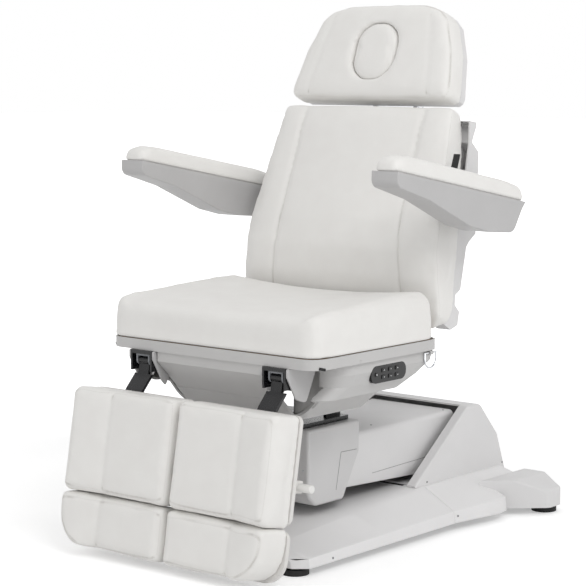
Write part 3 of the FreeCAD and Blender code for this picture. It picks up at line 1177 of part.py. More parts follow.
def back_frame():
    """Two bars from the hinge shaft, cross bars, the armrest shaft, guide tubes and lever lug."""
    body = new_body("back_frame", BACK)
    deep = s.back_bar_depth
    levels = [row[0] for row in back_rows()[1:-1] if row[0] < s.back_bar_top]
    front = [(cushion_rear(level) + s.bar_gap, level) for level in levels + [s.back_bar_top]]
    bar = [(depth + deep, level) for depth, level in front] + list(reversed(front))
    for low, high in sides("back_bar_side - back_bar_width / 2", "back_bar_side + back_bar_width / 2"):
        extrude(body, "X", [corner_path(bar)], low, high)
        extrude(body, "X", [corner_path([(-s.back_eye, 0), (s.back_eye, 0), bar[0], bar[-1]])],
                low, high)
        extrude(body, "X", [circle(0, 0, s.back_eye)], low, high)
    extrude(body, "X", [circle(0, 0, s.back_pin)], "-rear_beam_half - pin_head",
            "rear_beam_half + pin_head")
    for floor in (s.back_cross_floor, s.back_bar_top - s.back_cross_height):
        depth = cushion_rear(floor + s.back_cross_height) + s.bar_gap
        extrude(body, "X", [box_path(depth, depth + deep, floor, floor + s.back_cross_height)],
                "-back_bar_side", "back_bar_side")
    extrude(body, "X", [box_path(depth, s.guide_depth + s.guide_radius, floor,
                                 floor + s.back_cross_height)],
            "-guide_side - guide_radius", "guide_side + guide_radius")
    hub = (s.armrest_hub_depth, s.armrest_hub_level)
    extrude(body, "X", [circle(*hub, s.armrest_pin)], "-armrest_inner - armrest_bore",
            "armrest_inner + armrest_bore")
    for low, high in sides("armrest_boss_side", "armrest_inner - run_gap"):
        extrude(body, "X", [circle(*hub, s.armrest_hub_radius)], low, high)
    for side in (-1, 1):
        a = side * s.guide_side
        extrude(body, "Z", [circle(a, s.guide_depth, s.guide_radius)], "guide_floor", "guide_top")
        cut(body, "Z", [circle(a, s.guide_depth, s.guide_rod + s.pin_gap)],
            "guide_floor - overrun", "guide_top + overrun")
    # Lug for the actuator's rod, in the back's own frame
    turn = math.radians(s.back_lean)
    y, z = BACK_LEVER[0] - HINGE[0], BACK_LEVER[1] - HINGE[1]
    end = (y * math.cos(turn) - z * math.sin(turn), y * math.sin(turn) + z * math.cos(turn))
    gap = "rod_eye_thick / 2 + run_gap"
    away = V(-end[1], end[0], 0).normalize() * s.back_eye
    for low, high in sides(gap, gap + " + ear_thick"):
        extrude(body, "X", [corner_path([
            (away.x, away.y), (-away.x, -away.y),
            (end[0] - away.x * LUG_SHARE, end[1] - away.y * LUG_SHARE),
            (end[0] + away.x * LUG_SHARE, end[1] + away.y * LUG_SHARE)])], low, high)
        extrude(body, "X", [circle(0, 0, s.back_eye)], low, high)
        extrude(body, "X", [circle(*end, s.back_eye * LUG_SHARE)], low, high)
    extrude(body, "X", [circle(*end, s.rod_pin)], f"-({gap}) - ear_thick", gap + " + ear_thick")


def back_fittings():
    """Black strips on the pods and the handset hook beside the left armrest."""
    body = new_body("back_fittings", BACK)
    face = [(between(POD_SHARES, level) * s.pod_depth + s.run_gap, level * s.back_top)
            for level in STRIP_SHARES]
    strip = face + [(depth + s.strip_thick, level) for depth, level in reversed(face)]
    for low, high in sides("back_half - trim_side", "back_half - back_wall"):
        extrude(body, "X", [corner_path(strip)], low, high)
    thick = s.hook_thick
    outer = s.hook_side + s.hook_width / 2
    inner = s.hook_side - s.hook_width / 2
    extrude(body, "X", [box_path(s.hook_front, s.hook_rear, s.hook_level,
                                 s.hook_level + s.hook_height, s.soft_edge)],
            f"{outer} - hook_thick", f"{outer}")
    extrude(body, "Z", [box_path(s.back_half + s.run_gap, outer, s.hook_rear - thick,
                                 s.hook_rear)], "hook_level", "hook_level + hook_height")
    extrude(body, "X", [box_path(s.hook_front, s.hook_front + thick, s.hook_level, s.hook_top)],
            f"{inner}", f"{outer}")


# Headrest
def headrest_rows():
    """Level, half width and front bulge up the headrest cushion."""
    foot, rise = s.headrest_foot, s.headrest_top - s.headrest_foot
    return [(foot + share * rise, half * s.headrest_foot_half, fall * s.headrest_round)
            for share, half, fall in HEAD_SHARES]


def headrest_section(half, front, rear, crown):
    return [Part.LineSegment(V(half, rear, 0), V(-half, rear, 0)),
            bow((-half, rear), (-half, front + s.headrest_round), s.back_side_bulge),
            bow((-half, front + s.headrest_round), (-half + s.headrest_round, front),
                s.headrest_round * ROUND_SHARE),
            bow((-half + s.headrest_round, front), (half - s.headrest_round, front), crown),
            bow((half - s.headrest_round, front), (half, front + s.headrest_round),
                s.headrest_round * ROUND_SHARE),
            bow((half, front + s.headrest_round), (half, rear), s.back_side_bulge)]


def plug_outline(gap=0.0):
    """Face opening: straight sides between two half-round ends."""
    half = s.plug_half + gap
    rise = s.plug_height / 2 + gap
    low, high = s.plug_level - rise, s.plug_level + rise
    return box_path(-half, half, low, high, half * PLUG_ROUND_SHARE)


def headrest_cushion():
    body = new_body("headrest_cushion", BACK)
    loft(body, "Z", [(level, headrest_section(half, s.headrest_front + fall, s.headrest_rear,
                                              s.headrest_crown))
                     for level, half, fall in headrest_rows()])
    cut(body, "Y", [plug_outline(s.plug_gap)], "headrest_front - headrest_crown - overrun",
        "headrest_rear + overrun")


def headrest_shell():
    """Board behind the headrest with the two lugs of its hinge."""
    body = new_body("headrest_shell", BACK)
    rows = headrest_rows()
    half_points = [(half - s.shell_wall, level) for level, half, _ in rows]
    outline = [(a, level, s.soft_edge) for a, level in half_points]
    outline += [(-a, level, s.soft_edge) for a, level in reversed(half_points)]
    extrude(body, "Y", [corner_path(outline)], "headrest_rear", "headrest_shell_rear")
    cut(body, "Y", [plug_outline(-s.shell_wall)], "headrest_rear - overrun",
        "headrest_shell_rear + overrun")
    hinge = (s.head_hinge_depth, s.head_hinge_level)
    reach = 2 * s.head_lug
    for low, high in sides("slide_block_half - ear_thick - run_gap - head_lug",
                           "slide_block_half - ear_thick - run_gap"):
        extrude(body, "X", [corner_path([
            (s.headrest_shell_rear, hinge[1] - reach), (hinge[0], hinge[1] - s.head_lug),
            (hinge[0], hinge[1] + s.head_lug), (s.headrest_shell_rear, hinge[1] + reach)])],
            low, high)
        extrude(body, "X", [circle(*hinge, s.head_lug)], low, high)
        cut(body, "X", [circle(*hinge, s.head_pin + s.pin_gap)], low, high)


def headrest_plug():
    """Face plug that fills the opening and pulls out forwards."""
    body = new_body("headrest_plug", BACK)
    extrude(body, "Y", [plug_outline()], "headrest_front + soft_edge", "headrest_rear - soft_edge")
    loft(body, "Y", [("headrest_front + soft_edge", plug_outline()),
                     ("headrest_front - headrest_crown * 1 / 2", plug_outline(-s.headrest_round / 2)),
                     ("headrest_front - headrest_crown", plug_outline(-s.headrest_round))])


def headrest_slider():
    """Two rods in the back's guide tubes, joined by the block that holds the headrest's pin."""
    body = new_body("headrest_slider", BACK)
    block_top = s.slide_block_floor + s.slide_block_height
    deep = s.guide_radius
    for side in (-1, 1):
        extrude(body, "Z", [circle(side * s.guide_side, s.guide_depth, s.guide_rod)],
                "guide_floor + guide_radius", str(block_top))
    extrude(body, "X", [box_path(s.guide_depth - deep, s.guide_depth + deep, s.slide_block_floor,
                                 block_top, s.soft_edge)], "-slide_block_half", "slide_block_half")
    hinge = (s.head_hinge_depth, s.head_hinge_level)
    for low, high in sides("slide_block_half - ear_thick", "slide_block_half"):
        extrude(body, "X", [corner_path([
            (s.guide_depth - deep, s.slide_block_floor), (s.guide_depth + deep, s.slide_block_floor),
            (s.guide_depth + deep, block_top), (hinge[0] + s.head_lug, hinge[1]),
            (hinge[0] - s.head_lug, hinge[1])])], low, high)
        extrude(body, "X", [circle(*hinge, s.head_lug)], low, high)
    extrude(body, "X", [circle(*hinge, s.head_pin)], "-slide_block_half", "slide_block_half")


# Armrests
def armrest_place():
    """Placement of the armrests, whose origin is the end of the back's armrest shaft."""
    hub = BACK.multVec(V(0, s.armrest_hub_depth, s.armrest_hub_level))
    return FreeCAD.Placement(hub, FreeCAD.Rotation(X_WAY, -s.armrest_pitch))


def armrests():
    """Moulded arm and its upholstered pad, left and right."""
    place = armrest_place()
    reach = s.armrest_front
    seam = s.armrest_seam
    outline = [(share * reach, fall * s.armrest_drop, turn * s.armrest_corner)
               for share, fall, turn in ARM_SHARES]
    outline += [(s.armrest_rear, seam), (-reach, seam)]
    for side in (-1, 1):
        low, high = side_span(side, "armrest_inner", "armrest_inner + armrest_width")
        body = new_body(side_name("armrest_moulding", side), place)
        extrude(body, "X", [corner_path(outline)], low, high)
        round_edges(body, "soft_edge", lambda edge: abs(abs(edge.CenterOfMass.x) - s.armrest_inner
                    - s.armrest_width / 2) > s.armrest_width / 2 - TINY
                    and edge.CenterOfMass.z < seam - s.soft_edge)
        bore_low, bore_high = side_span(side, "armrest_inner - overrun",
                                        "armrest_inner + armrest_bore + run_gap")
        cut(body, "X", [circle(0, 0, s.armrest_pin + s.pin_gap)], bore_low, bore_high)
        soft = new_body(side_name("armrest_pad", side), place)
        middle = side * (s.armrest_inner + s.armrest_width / 2)
        rows = [(share * (reach + s.armrest_rear) - reach, inset_share * s.armrest_corner,
                 height * (s.armrest_top - seam)) for share, inset_share, height in PAD_SHARES]
        loft(soft, "Y", [(depth, armrest_section(middle, s.armrest_width / 2 - s.armrest_inset - draw,
                                                 height)) for depth, draw, height in rows])


def armrest_section(middle, half, height):
    """Section across an armrest pad: bulged sides and a domed top."""
    seam = s.armrest_seam
    shoulder = seam + height * PAD_SHOULDER_SHARE
    top = seam + height
    inner = half * PAD_TOP_SHARE
    return [Part.LineSegment(V(middle - half, seam, 0), V(middle + half, seam, 0)),
            bow((middle + half, seam), (middle + half, shoulder), s.pad_bulge),
            bow((middle + half, shoulder), (middle + inner, top), s.pad_round),
            bow((middle + inner, top), (middle - inner, top), s.pad_crown),
            bow((middle - inner, top), (middle - half, shoulder), s.pad_round),
            bow((middle - half, shoulder), (middle - half, seam), s.pad_bulge)]


# Leg rests
def leg_place(side, lean):
    return frame_at(s.leg_hinge_depth, s.leg_hinge_height, lean, side * s.leg_side)


def leg_swivel(side):
    """Yoke under the bracket's roof: an upright pin and two ears round the leg's pin."""
    body = new_body(side_name("leg_swivel", side), leg_place(side, 0))
    roof = s.seat_seam - s.rim_depth - s.run_gap - s.leg_box_roof - s.leg_hinge_height
    front = s.yoke_front - s.leg_hinge_depth
    extrude(body, "X", [box_path(front, s.yoke_ear, roof - s.run_gap - s.yoke_roof,
                                 roof - s.run_gap)], "-yoke_half", "yoke_half")
    for low, high in sides("yoke_half - yoke_wall", "yoke_half"):
        extrude(body, "X", [box_path(front, s.yoke_ear, 0, roof - s.run_gap)], low, high)
        extrude(body, "X", [circle(0, 0, s.yoke_ear)], low, high)
    extrude(body, "X", [circle(0, 0, s.leg_pin)], "-yoke_half", "yoke_half")
    extrude(body, "Z", [circle(0, 0, s.swivel_pin)], str(roof - s.yoke_roof),
            f"{roof} + leg_box_roof - soft_edge")


def leg_arm(side):
    """Bent plate from the leg's pin down the back of the leg board."""
    body = new_body(side_name("leg_arm", side), leg_place(side, s.leg_lean))
    rear = s.leg_board_rear
    thick = s.leg_arm_thick
    bend = s.leg_arm_bend
    drop = s.leg_pad_top
    outline = [(rear, s.leg_arm_foot), (rear + thick, s.leg_arm_foot), (rear + thick, drop, bend),
               (thick / 2, s.leg_arm_wide_top, bend), (thick / 2, 0), (-thick / 2, 0),
               (-thick / 2, s.leg_arm_wide_top, bend), (rear, drop, bend)]
    extrude(body, "X", [corner_path(outline)], "-leg_arm_wide_half", "leg_arm_wide_half")
    for low, high in sides("leg_arm_half", "leg_arm_wide_half + overrun"):
        cut(body, "X", [box_path(-thick, thick, s.leg_arm_wide_top, s.overrun)], low, high)
    extrude(body, "X", [circle(0, 0, s.leg_arm_eye)], "-leg_arm_half", "leg_arm_half")
    cut(body, "X", [circle(0, 0, s.leg_pin + s.pin_gap)], "-leg_arm_half", "leg_arm_half")


def leg_outline(side, top, foot, outer_corner, draw=0.0):
    """Front outline of a leg board: middle of the pad outwards and inwards, top and foot."""
    middle = side * (s.leg_pad_side - s.leg_side)
    inner = middle - side * (s.leg_pad_half - draw)
    outer = middle + side * (s.leg_pad_half - draw)
    return corner_path([(inner, foot + draw, s.leg_corner), (outer, foot + draw, outer_corner),
                        (outer, top - draw, s.leg_corner), (inner, top - draw, s.leg_corner)])


def leg_shell(side):
    """Leg board with the sleeve of the foot section and the block of the lever."""
    body = new_body(side_name("leg_shell", side), leg_place(side, s.leg_lean))
    extrude(body, "Y", [leg_outline(side, s.leg_pad_top, s.leg_pad_foot, s.leg_corner)],
            "leg_pad_rear", "leg_board_rear")
    half = s.tongue_width / 2
    middle = side * s.tongue_side
    gap = s.run_gap
    low, high = sorted((middle - half - gap, middle + half + gap))
    rear = s.leg_board_rear + s.tongue_thick + 2 * gap
    extrude(body, "Z", [box_path(low - s.guide_wall, high + s.guide_wall, s.leg_board_rear,
                                 rear + s.guide_wall)], "guide_box_foot", "guide_box_top")
    cut(body, "Z", [box_path(low, high, s.leg_board_rear, rear)], "guide_box_foot - overrun",
        "guide_box_top + overrun")
    low, high = side_span(side, "lever_root + lever_block", "lever_root + 3 * lever_block")
    depth = s.leg_board_rear + s.lever_stand
    extrude(body, "X", [box_path(s.leg_board_rear, depth + s.lever_radius + s.guide_wall,
                                 s.lever_level - s.lever_radius - s.guide_wall,
                                 s.lever_level + s.lever_radius + s.guide_wall, s.soft_edge)],
            low, high)
    cut(body, "X", [circle(depth, s.lever_level, s.lever_radius + s.pin_gap)], low, high)


def leg_section(side, rise, reach, draw):
    """Plan section of a leg pad: a flat inner part, a channel and a wing at the outer side."""
    middle = side * (s.leg_pad_side - s.leg_side)
    inner = middle - side * (s.leg_pad_half - draw)
    outer = middle + side * (reach - draw)
    channel = middle + side * min(s.leg_channel, reach - 3 * s.pad_edge)
    groove = side * s.channel_width / 2
    rear = s.leg_pad_rear
    face = rear + (s.leg_face - rear) * rise
    wing = rear + (s.leg_wing_face - rear) * rise
    edge = s.pad_edge * rise
    floor = face + s.channel_depth * rise
    points = [(inner, rear), (inner, face + edge), (inner + side * s.pad_edge, face),
              (channel - groove, face), (channel, floor), (channel + groove, face),
              (outer - side * s.pad_edge, wing), (outer, wing + edge), (outer, rear)]
    rises = [0, 1, 1, 0, 0, s.pad_bulge, 1, 1]
    edges = []
    for start, end, height in zip(points, points[1:], rises):
        edges.append(bow(start, end, side * height))
    edges.append(Part.LineSegment(V(outer, rear, 0), V(inner, rear, 0)))
    return edges


def leg_pad(side):
    body = new_body(side_name("leg_pad", side), leg_place(side, s.leg_lean))
    top, foot = s.leg_pad_top, s.leg_pad_foot
    loft(body, "Z", [(foot + share * (top - foot), leg_section(side, rise, s.leg_pad_half,
                                                               draw * s.pad_edge))
                     for share, rise, draw in PAD_ROUND_SHARES])


def foot_shell(side):
    """Foot board with the tongue that runs in the leg board's sleeve."""
    body = new_body(side_name("foot_shell", side), leg_place(side, s.leg_lean))
    extrude(body, "Y", [leg_outline(side, s.foot_pad_top, s.foot_pad_foot, s.foot_corner)],
            "leg_pad_rear", "leg_board_rear")
    front = s.leg_board_rear + s.run_gap
    rear = front + s.tongue_thick
    tongue = corner_path([(s.leg_board_rear - s.soft_edge, s.foot_pad_foot + s.foot_corner),
                          (rear, s.foot_pad_foot + s.foot_corner), (rear, s.tongue_top),
                          (front, s.tongue_top), (front, s.foot_pad_top),
                          (s.leg_board_rear - s.soft_edge, s.foot_pad_top)])
    low, high = sorted((side * s.tongue_side - s.tongue_width / 2,
                        side * s.tongue_side + s.tongue_width / 2))
    extrude(body, "X", [tongue], str(low), str(high))


def foot_pad(side):
    """Foot cushion whose outer lower corner follows one large arc."""
    body = new_body(side_name("foot_pad", side), leg_place(side, s.leg_lean))
    top, foot, radius = s.foot_pad_top, s.foot_pad_foot, s.foot_corner
    rows = []
    for share, rise, draw in PAD_ROUND_SHARES:
        level = foot + share * (top - foot)
        below = max(foot + radius - level, 0)
        reach = s.leg_pad_half - radius + math.sqrt(max(radius ** 2 - below ** 2, 0))
        rows.append((level, rise, reach, draw))
    for share in FOOT_ARC_SHARES:
        below = share * radius
        rows.append((foot + radius - below, 1, s.leg_pad_half - radius
                     + math.sqrt(radius ** 2 - below ** 2), 0))
    rows.sort()
    loft(body, "Z", [(level, leg_section(side, rise, reach, draw * s.pad_edge))
                     for level, rise, reach, draw in rows])


def leg_lever(side):
    body = new_body(side_name("leg_lever", side), leg_place(side, s.leg_lean))
    low, high = side_span(side, "lever_root", "leg_pad_side + lever_reach - leg_side")
    depth = s.leg_board_rear + s.lever_stand
    extrude(body, "X", [circle(depth, s.lever_level, s.lever_radius)], low, high)
    tip = s.leg_pad_side + s.lever_reach - s.leg_side
    round_edges(body, "soft_edge", lambda edge: edge.CenterOfMass.x * side > tip - TINY)


# Parts in building order
levelling_feet()
base_frame()
base_cover_front()
base_cover_rear()
rear_outrigger()
tower_cover()
control_box()
power_inlet()
lift_actuator()
lift_actuator_rod()
lift_arm()
lift_arm_cover()
lower_link()
lift_head_frame()
lift_head_cover()
tilt_actuator()
tilt_actuator_rod()
seat_frame()
seat_shell()
seat_board()
seat_cushion()
keypad_bezel()
keys()
d_ring()
leg_brackets()
leg_cheeks()
back_actuator()
back_actuator_rod()
back_frame()
back_shell()
back_cushion()
back_fittings()
headrest_slider()
headrest_shell()
headrest_cushion()
headrest_plug()
armrests()
for way in (-1, 1):
    leg_swivel(way)
    leg_arm(way)
    leg_shell(way)
    leg_pad(way)
    foot_shell(way)
    foot_pad(way)
    leg_lever(way)

# Checks and output
doc.recompute()
failed = [obj.Label for obj in doc.Objects
          if any(word in obj.State for word in ("Invalid", "Error"))]
if failed:
    raise ValueError("features that failed: " + ", ".join(failed))
os.makedirs("parts", exist_ok=True)
for node in nodes:
    if node.Shape.isNull() or not node.Shape.isValid():
        raise ValueError("no valid shape in " + node.Label)
    node.Shape.exportStep(os.path.join("parts", node.Label + ".step"))
    bounds = node.Shape.optimalBoundingBox(False, False)
    print(f"{node.Label:24s} solids {len(node.Shape.Solids):2d} faces {len(node.Shape.Faces):3d} "
          f"x {bounds.XMin:8.1f} {bounds.XMax:8.1f} y {bounds.YMin:8.1f} {bounds.YMax:8.1f} "
          f"z {bounds.ZMin:8.1f} {bounds.ZMax:8.1f}")
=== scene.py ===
import json
import math

import bmesh
import bpy
import numpy as np
from mathutils import Matrix, Vector, noise
from mathutils.bvhtree import BVHTree
from mathutils.kdtree import KDTree


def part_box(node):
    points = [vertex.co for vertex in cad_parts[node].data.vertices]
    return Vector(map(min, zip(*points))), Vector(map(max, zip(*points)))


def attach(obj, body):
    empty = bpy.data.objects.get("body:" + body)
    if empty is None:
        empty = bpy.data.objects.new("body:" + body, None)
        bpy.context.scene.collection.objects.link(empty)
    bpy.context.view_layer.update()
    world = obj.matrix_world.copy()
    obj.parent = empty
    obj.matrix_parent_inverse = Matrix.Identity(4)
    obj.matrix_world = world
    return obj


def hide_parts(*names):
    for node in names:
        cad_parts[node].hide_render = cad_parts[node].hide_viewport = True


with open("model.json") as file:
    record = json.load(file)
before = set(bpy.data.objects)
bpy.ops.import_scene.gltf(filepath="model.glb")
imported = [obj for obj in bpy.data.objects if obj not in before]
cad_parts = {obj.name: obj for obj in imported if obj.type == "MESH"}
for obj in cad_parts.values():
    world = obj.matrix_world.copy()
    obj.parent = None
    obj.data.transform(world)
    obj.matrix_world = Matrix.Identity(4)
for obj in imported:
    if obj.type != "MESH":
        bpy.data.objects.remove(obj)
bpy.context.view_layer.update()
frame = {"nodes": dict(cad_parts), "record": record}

nodes = frame["nodes"]
scene = bpy.context.scene
scene.view_settings.view_transform = "Standard"

MM = 0.001
PHOTO_SIZE = 586
CAMERA_PLACE, CAMERA_WAY = Vector((2.762, -3.387, 1.065)), Vector((-0.6376, 0.7614, -0.1172))
CAMERA_LENS, CAMERA_FILM = 117.95, 36.0
BACK_HINGE, BACK_LEAN = Vector((0, 0.094, 0.440)), 20.0
LEG_HINGE, LEG_LEAN = Vector((0.193, -0.366, 0.418)), 10.0
ARMREST_HUB, ARMREST_LEAN = Vector((0, 0.20917, 0.74181)), 10.4
SIDES = {"left": 1, "right": -1}


def leaned(origin, lean, across, depth, level):
    """Point in the chair's frame of a part that leans back, from millimetres along its own axes."""
    turn = math.radians(lean)
    return origin + Vector((across, depth * math.cos(turn) + level * math.sin(turn),
                            level * math.cos(turn) - depth * math.sin(turn))) * MM


def on_back(across, depth, level):
    return leaned(BACK_HINGE, BACK_LEAN, across, depth, level)


def on_leg(side, across, depth, level):
    """Point of a leg rest: across is measured outwards from the middle of the chair."""
    origin = Vector((0, LEG_HINGE.y, LEG_HINGE.z))
    return leaned(origin, LEG_LEAN, side * across, depth, level)


# Finishes
class Amount:
    """A number that varies over a surface. Arithmetic on it adds Math nodes."""

    def __init__(self, tree, socket):
        self.tree, self.socket = tree, socket

    def math(self, operation, first, second=None):
        made = self.tree.nodes.new("ShaderNodeMath")
        made.operation = operation
        for socket, value in zip(made.inputs, (first, second)):
            if isinstance(value, Amount):
                self.tree.links.new(value.socket, socket)
            elif value is not None:
                socket.default_value = value
        return Amount(self.tree, made.outputs[0])

    def __add__(self, other):
        return self.math("ADD", self, other)

    def __sub__(self, other):
        return self.math("SUBTRACT", self, other)

    def __rsub__(self, other):
        return self.math("SUBTRACT", other, self)

    def __mul__(self, other):
        return self.math("MULTIPLY", self, other)

    def __truediv__(self, other):
        return self.math("DIVIDE", self, other)

    __radd__ = __add__
    __rmul__ = __mul__


class Finish:
    """A material on a Principled shader, whose patterns read object coordinates."""

    def __init__(self, name, **constants):
        self.material = bpy.data.materials.new(name)
        self.material.use_nodes = True
        self.tree = self.material.node_tree
        self.shader = self.tree.nodes["Principled BSDF"]
        self.place = self.node("TexCoord", output="Object")
        self.set(**constants)

    def feed(self, socket, value):
        if isinstance(value, Amount):
            self.tree.links.new(value.socket, socket)
        else:
            socket.default_value = value

    def node(self, kind, settings=None, output=0, **values):
        made = self.tree.nodes.new("ShaderNode" + kind)
        for key, value in (settings or {}).items():
            setattr(made, key, value)
        for name, value in values.items():
            self.feed(made.inputs[name.replace("_", " ")], value)
        return Amount(self.tree, made.outputs[output])

    def set(self, **values):
        for name, value in values.items():
            self.feed(self.shader.inputs[name.replace("_", " ")], value)

    def grain(self, size, detail=2.0, stretch=(1, 1, 1)):
        """Soft noise between 0 and 1 whose features measure about size metres."""
        place = self.place
        if stretch != (1, 1, 1):
            place = self.node("Mapping", Vector=self.place, Scale=stretch)
        return self.node("TexNoise", Vector=place, Scale=1 / size, Detail=detail)

    def pebbles(self, size):
        """Distance to the middle of pebbles that measure about size metres."""
        return self.node("TexVoronoi", {"feature": "F1"}, Vector=self.place, Scale=1 / size)

    def mix(self, share, first, second):
        """Colour between two, by a share that varies."""
        made = self.tree.nodes.new("ShaderNodeMix")
        made.data_type = "RGBA"
        for name, value in (("Factor", share), ("A", first), ("B", second)):
            sockets = [s for s in made.inputs if s.name == name and s.enabled]
            self.feed(sockets[0], value)
        return Amount(self.tree, [s for s in made.outputs if s.enabled][0])

    def bump(self, height, depth):
        self.set(Normal=self.node("Bump", Height=height, Distance=depth, Strength=1.0))


def rgb(red, green, blue):
    """Linear colour from the 0 to 255 values that a picture shows."""
    return tuple(((v / 255 + 0.055) / 1.055) ** 2.4 for v in (red, green, blue)) + (1.0,)


def leather_finish():
    """Smooth coated upholstery: fine pebbled grain, faint mottling and painted shade in the sewn
    creases.
    """
    f = Finish("white_upholstery", IOR=1.46)
    cell = f.pebbles(1.5 * MM)
    mottle = f.grain(0.05, 3)
    seam = f.node("Attribute", {"attribute_name": "seam"}, output="Fac")
    plain = f.mix(mottle, rgb(234, 232, 229), rgb(241, 240, 237))
    # Painted shade: the cover darkens towards rgb(188, 184, 178) along the seams and sewn channels,
    # by the seam attribute.
    f.set(Base_Color=f.mix(seam * 0.75, plain, rgb(188, 184, 178)),
          Roughness=0.44 + f.grain(0.02) * 0.08 + cell * 0.06)
    f.bump(cell * 0.5 + f.grain(0.6 * MM) * 0.35 + f.grain(0.03, 2) * 2.2, 0.25 * MM)
    return f.material


def cover_finish(name, shade, light):
    """Moulded plastic with a fine spark texture and a faint clouding."""
    f = Finish(name, IOR=1.5)
    cloud = f.grain(0.08, 3)
    f.set(Base_Color=f.mix(cloud, shade, light),
          Roughness=0.40 + f.grain(0.015) * 0.10 + f.grain(0.9 * MM) * 0.08)
    f.bump(f.grain(0.8 * MM, 3) + f.grain(0.12, 1) * 1.5, 0.12 * MM)
    return f.material


def steel_finish(name, colour, edge, roughness):
    """Powder coat on steel: orange-peel skin and a little dust in its gloss."""
    f = Finish(name, Coat_Roughness=0.12, Specular_IOR_Level=0.3)
    f.set(Base_Color=f.mix(f.grain(0.02, 4), colour, edge),
          Roughness=roughness + f.grain(4 * MM) * 0.14, Coat_Weight=0.05 + f.grain(0.03) * 0.15)
    f.bump(f.grain(2.2 * MM, 1) + f.grain(0.5 * MM) * 0.2, 0.25 * MM)
    return f.material


def rubber_finish():
    f = Finish("black_rubber", Specular_IOR_Level=0.35)
    dust = f.grain(6 * MM, 4)
    f.set(Base_Color=f.mix(dust, rgb(26, 26, 27), rgb(48, 48, 48)), Roughness=0.6 + dust * 0.25)
    f.bump(f.grain(0.7 * MM, 3) + f.pebbles(1.2 * MM) * 0.5, 0.2 * MM)
    return f.material


def polished_finish(name, colour, low, stretch):
    """Bright metal with fine drawn lines along one way."""
    f = Finish(name, Metallic=1.0)
    drawn = f.grain(0.5 * MM, 3, stretch)
    f.set(Base_Color=f.mix(f.grain(0.01), colour, rgb(225, 226, 228)), Roughness=low + drawn * 0.12)
    f.bump(drawn, 0.02 * MM)
    return f.material


def wood_finish():
    """Birch plywood: long grain on the faces and thin plies along the edges."""
    f = Finish("seat_board_ply", IOR=1.5)
    figure = f.grain(6 * MM, 4, (1, 0.08, 1))
    plies = f.node("TexWave", {"bands_direction": "Z"}, output="Fac", Vector=f.place,
                   Scale=1 / (6 * MM), Distortion=0.6)
    f.set(Base_Color=f.mix(figure * 0.6 + plies * 0.4, rgb(176, 138, 98), rgb(216, 184, 142)),
          Roughness=0.5 + figure * 0.2)
    f.bump(figure, 0.1 * MM)
    return f.material


def panel_finish(name, dark, light, roughness):
    """Glossy moulded plastic with a soft skin."""
    f = Finish(name, IOR=1.5, Coat_Roughness=0.05, Specular_IOR_Level=0.35)
    skin = f.grain(3 * MM, 2)
    f.set(Base_Color=f.mix(f.grain(0.01, 3), dark, light), Roughness=roughness + skin * 0.08,
          Coat_Weight=0.05 + skin * 0.15)
    f.bump(skin, 0.03 * MM)
    return f.material


LEATHER = leather_finish()
COVER = cover_finish("light_grey_cover", rgb(221, 220, 220), rgb(228, 227, 227))
# Painted light: the same cover plastic made brighter for the base covers, whose tops lie in the
# chair's shade.
BASE_COVER_LIT = cover_finish("base_cover_grey", rgb(233, 232, 232), rgb(239, 238, 238))
HEAD_GREY = cover_finish("lift_head_grey", rgb(203, 202, 202), rgb(210, 209, 209))
BOARD_WHITE = cover_finish("white_board", rgb(222, 220, 217), rgb(230, 228, 225))
SHELL = cover_finish("grey_shell", rgb(193, 192, 191), rgb(201, 200, 199))
ARM_GREY = cover_finish("armrest_grey", rgb(184, 183, 183), rgb(192, 191, 191))
BLACK_STEEL = steel_finish("black_powder_coat", rgb(12, 12, 14), rgb(24, 24, 27), 0.20)
GREY_STEEL = steel_finish("grey_powder_coat", rgb(120, 123, 128), rgb(150, 152, 156), 0.30)
RUBBER = rubber_finish()
CHROME = polished_finish("bright_chrome", rgb(196, 198, 202), 0.08, (1, 1, 1))
PIN_STEEL = polished_finish("turned_steel", rgb(168, 170, 174), 0.20, (0.1, 1, 1))
WOOD = wood_finish()
BLACK_PANEL = panel_finish("black_panel", rgb(6, 6, 7), rgb(11, 11, 13), 0.3)
KEY_BLACK = panel_finish("key_black", rgb(8, 8, 9), rgb(14, 14, 16), 0.32)
SYMBOL_WHITE = panel_finish("symbol_white", rgb(225, 226, 228), rgb(240, 240, 241), 0.35)
GRIP_WHITE = panel_finish("white_grip", rgb(228, 227, 224), rgb(240, 239, 237), 0.30)
SEAM_GREY = cover_finish("seam_shadow", rgb(120, 120, 121), rgb(138, 138, 139))
MOTOR_BLACK = cover_finish("motor_black", rgb(38, 38, 41), rgb(52, 52, 55))
THREAD = cover_finish("sewing_thread", rgb(196, 193, 188), rgb(214, 211, 206))

FINISHES = {"black_steel": BLACK_STEEL, "grey_steel": GREY_STEEL, "grey_cover": COVER,
            "white_leather": LEATHER, "black_rubber": RUBBER, "chrome": CHROME,
            "grey_board": SHELL, "seat_wood": WOOD, "black_panel": BLACK_PANEL,
            "white_key": KEY_BLACK, "white_grip": GRIP_WHITE, "motor_housing": MOTOR_BLACK}
SPECIAL = {"seat_shell": SHELL, "base_cover_front": BASE_COVER_LIT, "base_cover_rear": BASE_COVER_LIT,
           "lift_head_cover": HEAD_GREY, "leg_shell_left": BOARD_WHITE,
           "leg_shell_right": BOARD_WHITE, "foot_shell_left": BOARD_WHITE,
           "foot_shell_right": BOARD_WHITE, "leg_cheeks": ARM_GREY,
           "armrest_moulding_left": ARM_GREY, "armrest_moulding_right": ARM_GREY,
           "lift_actuator_rod": PIN_STEEL, "tilt_actuator_rod": PIN_STEEL,
           "back_actuator_rod": PIN_STEEL}
for part in frame["record"]["subparts"]:
    shown = nodes[part["node"]]
    shown.data.materials.clear()
    shown.data.materials.append(SPECIAL.get(part["node"], FINISHES[part["material_slot"]]))


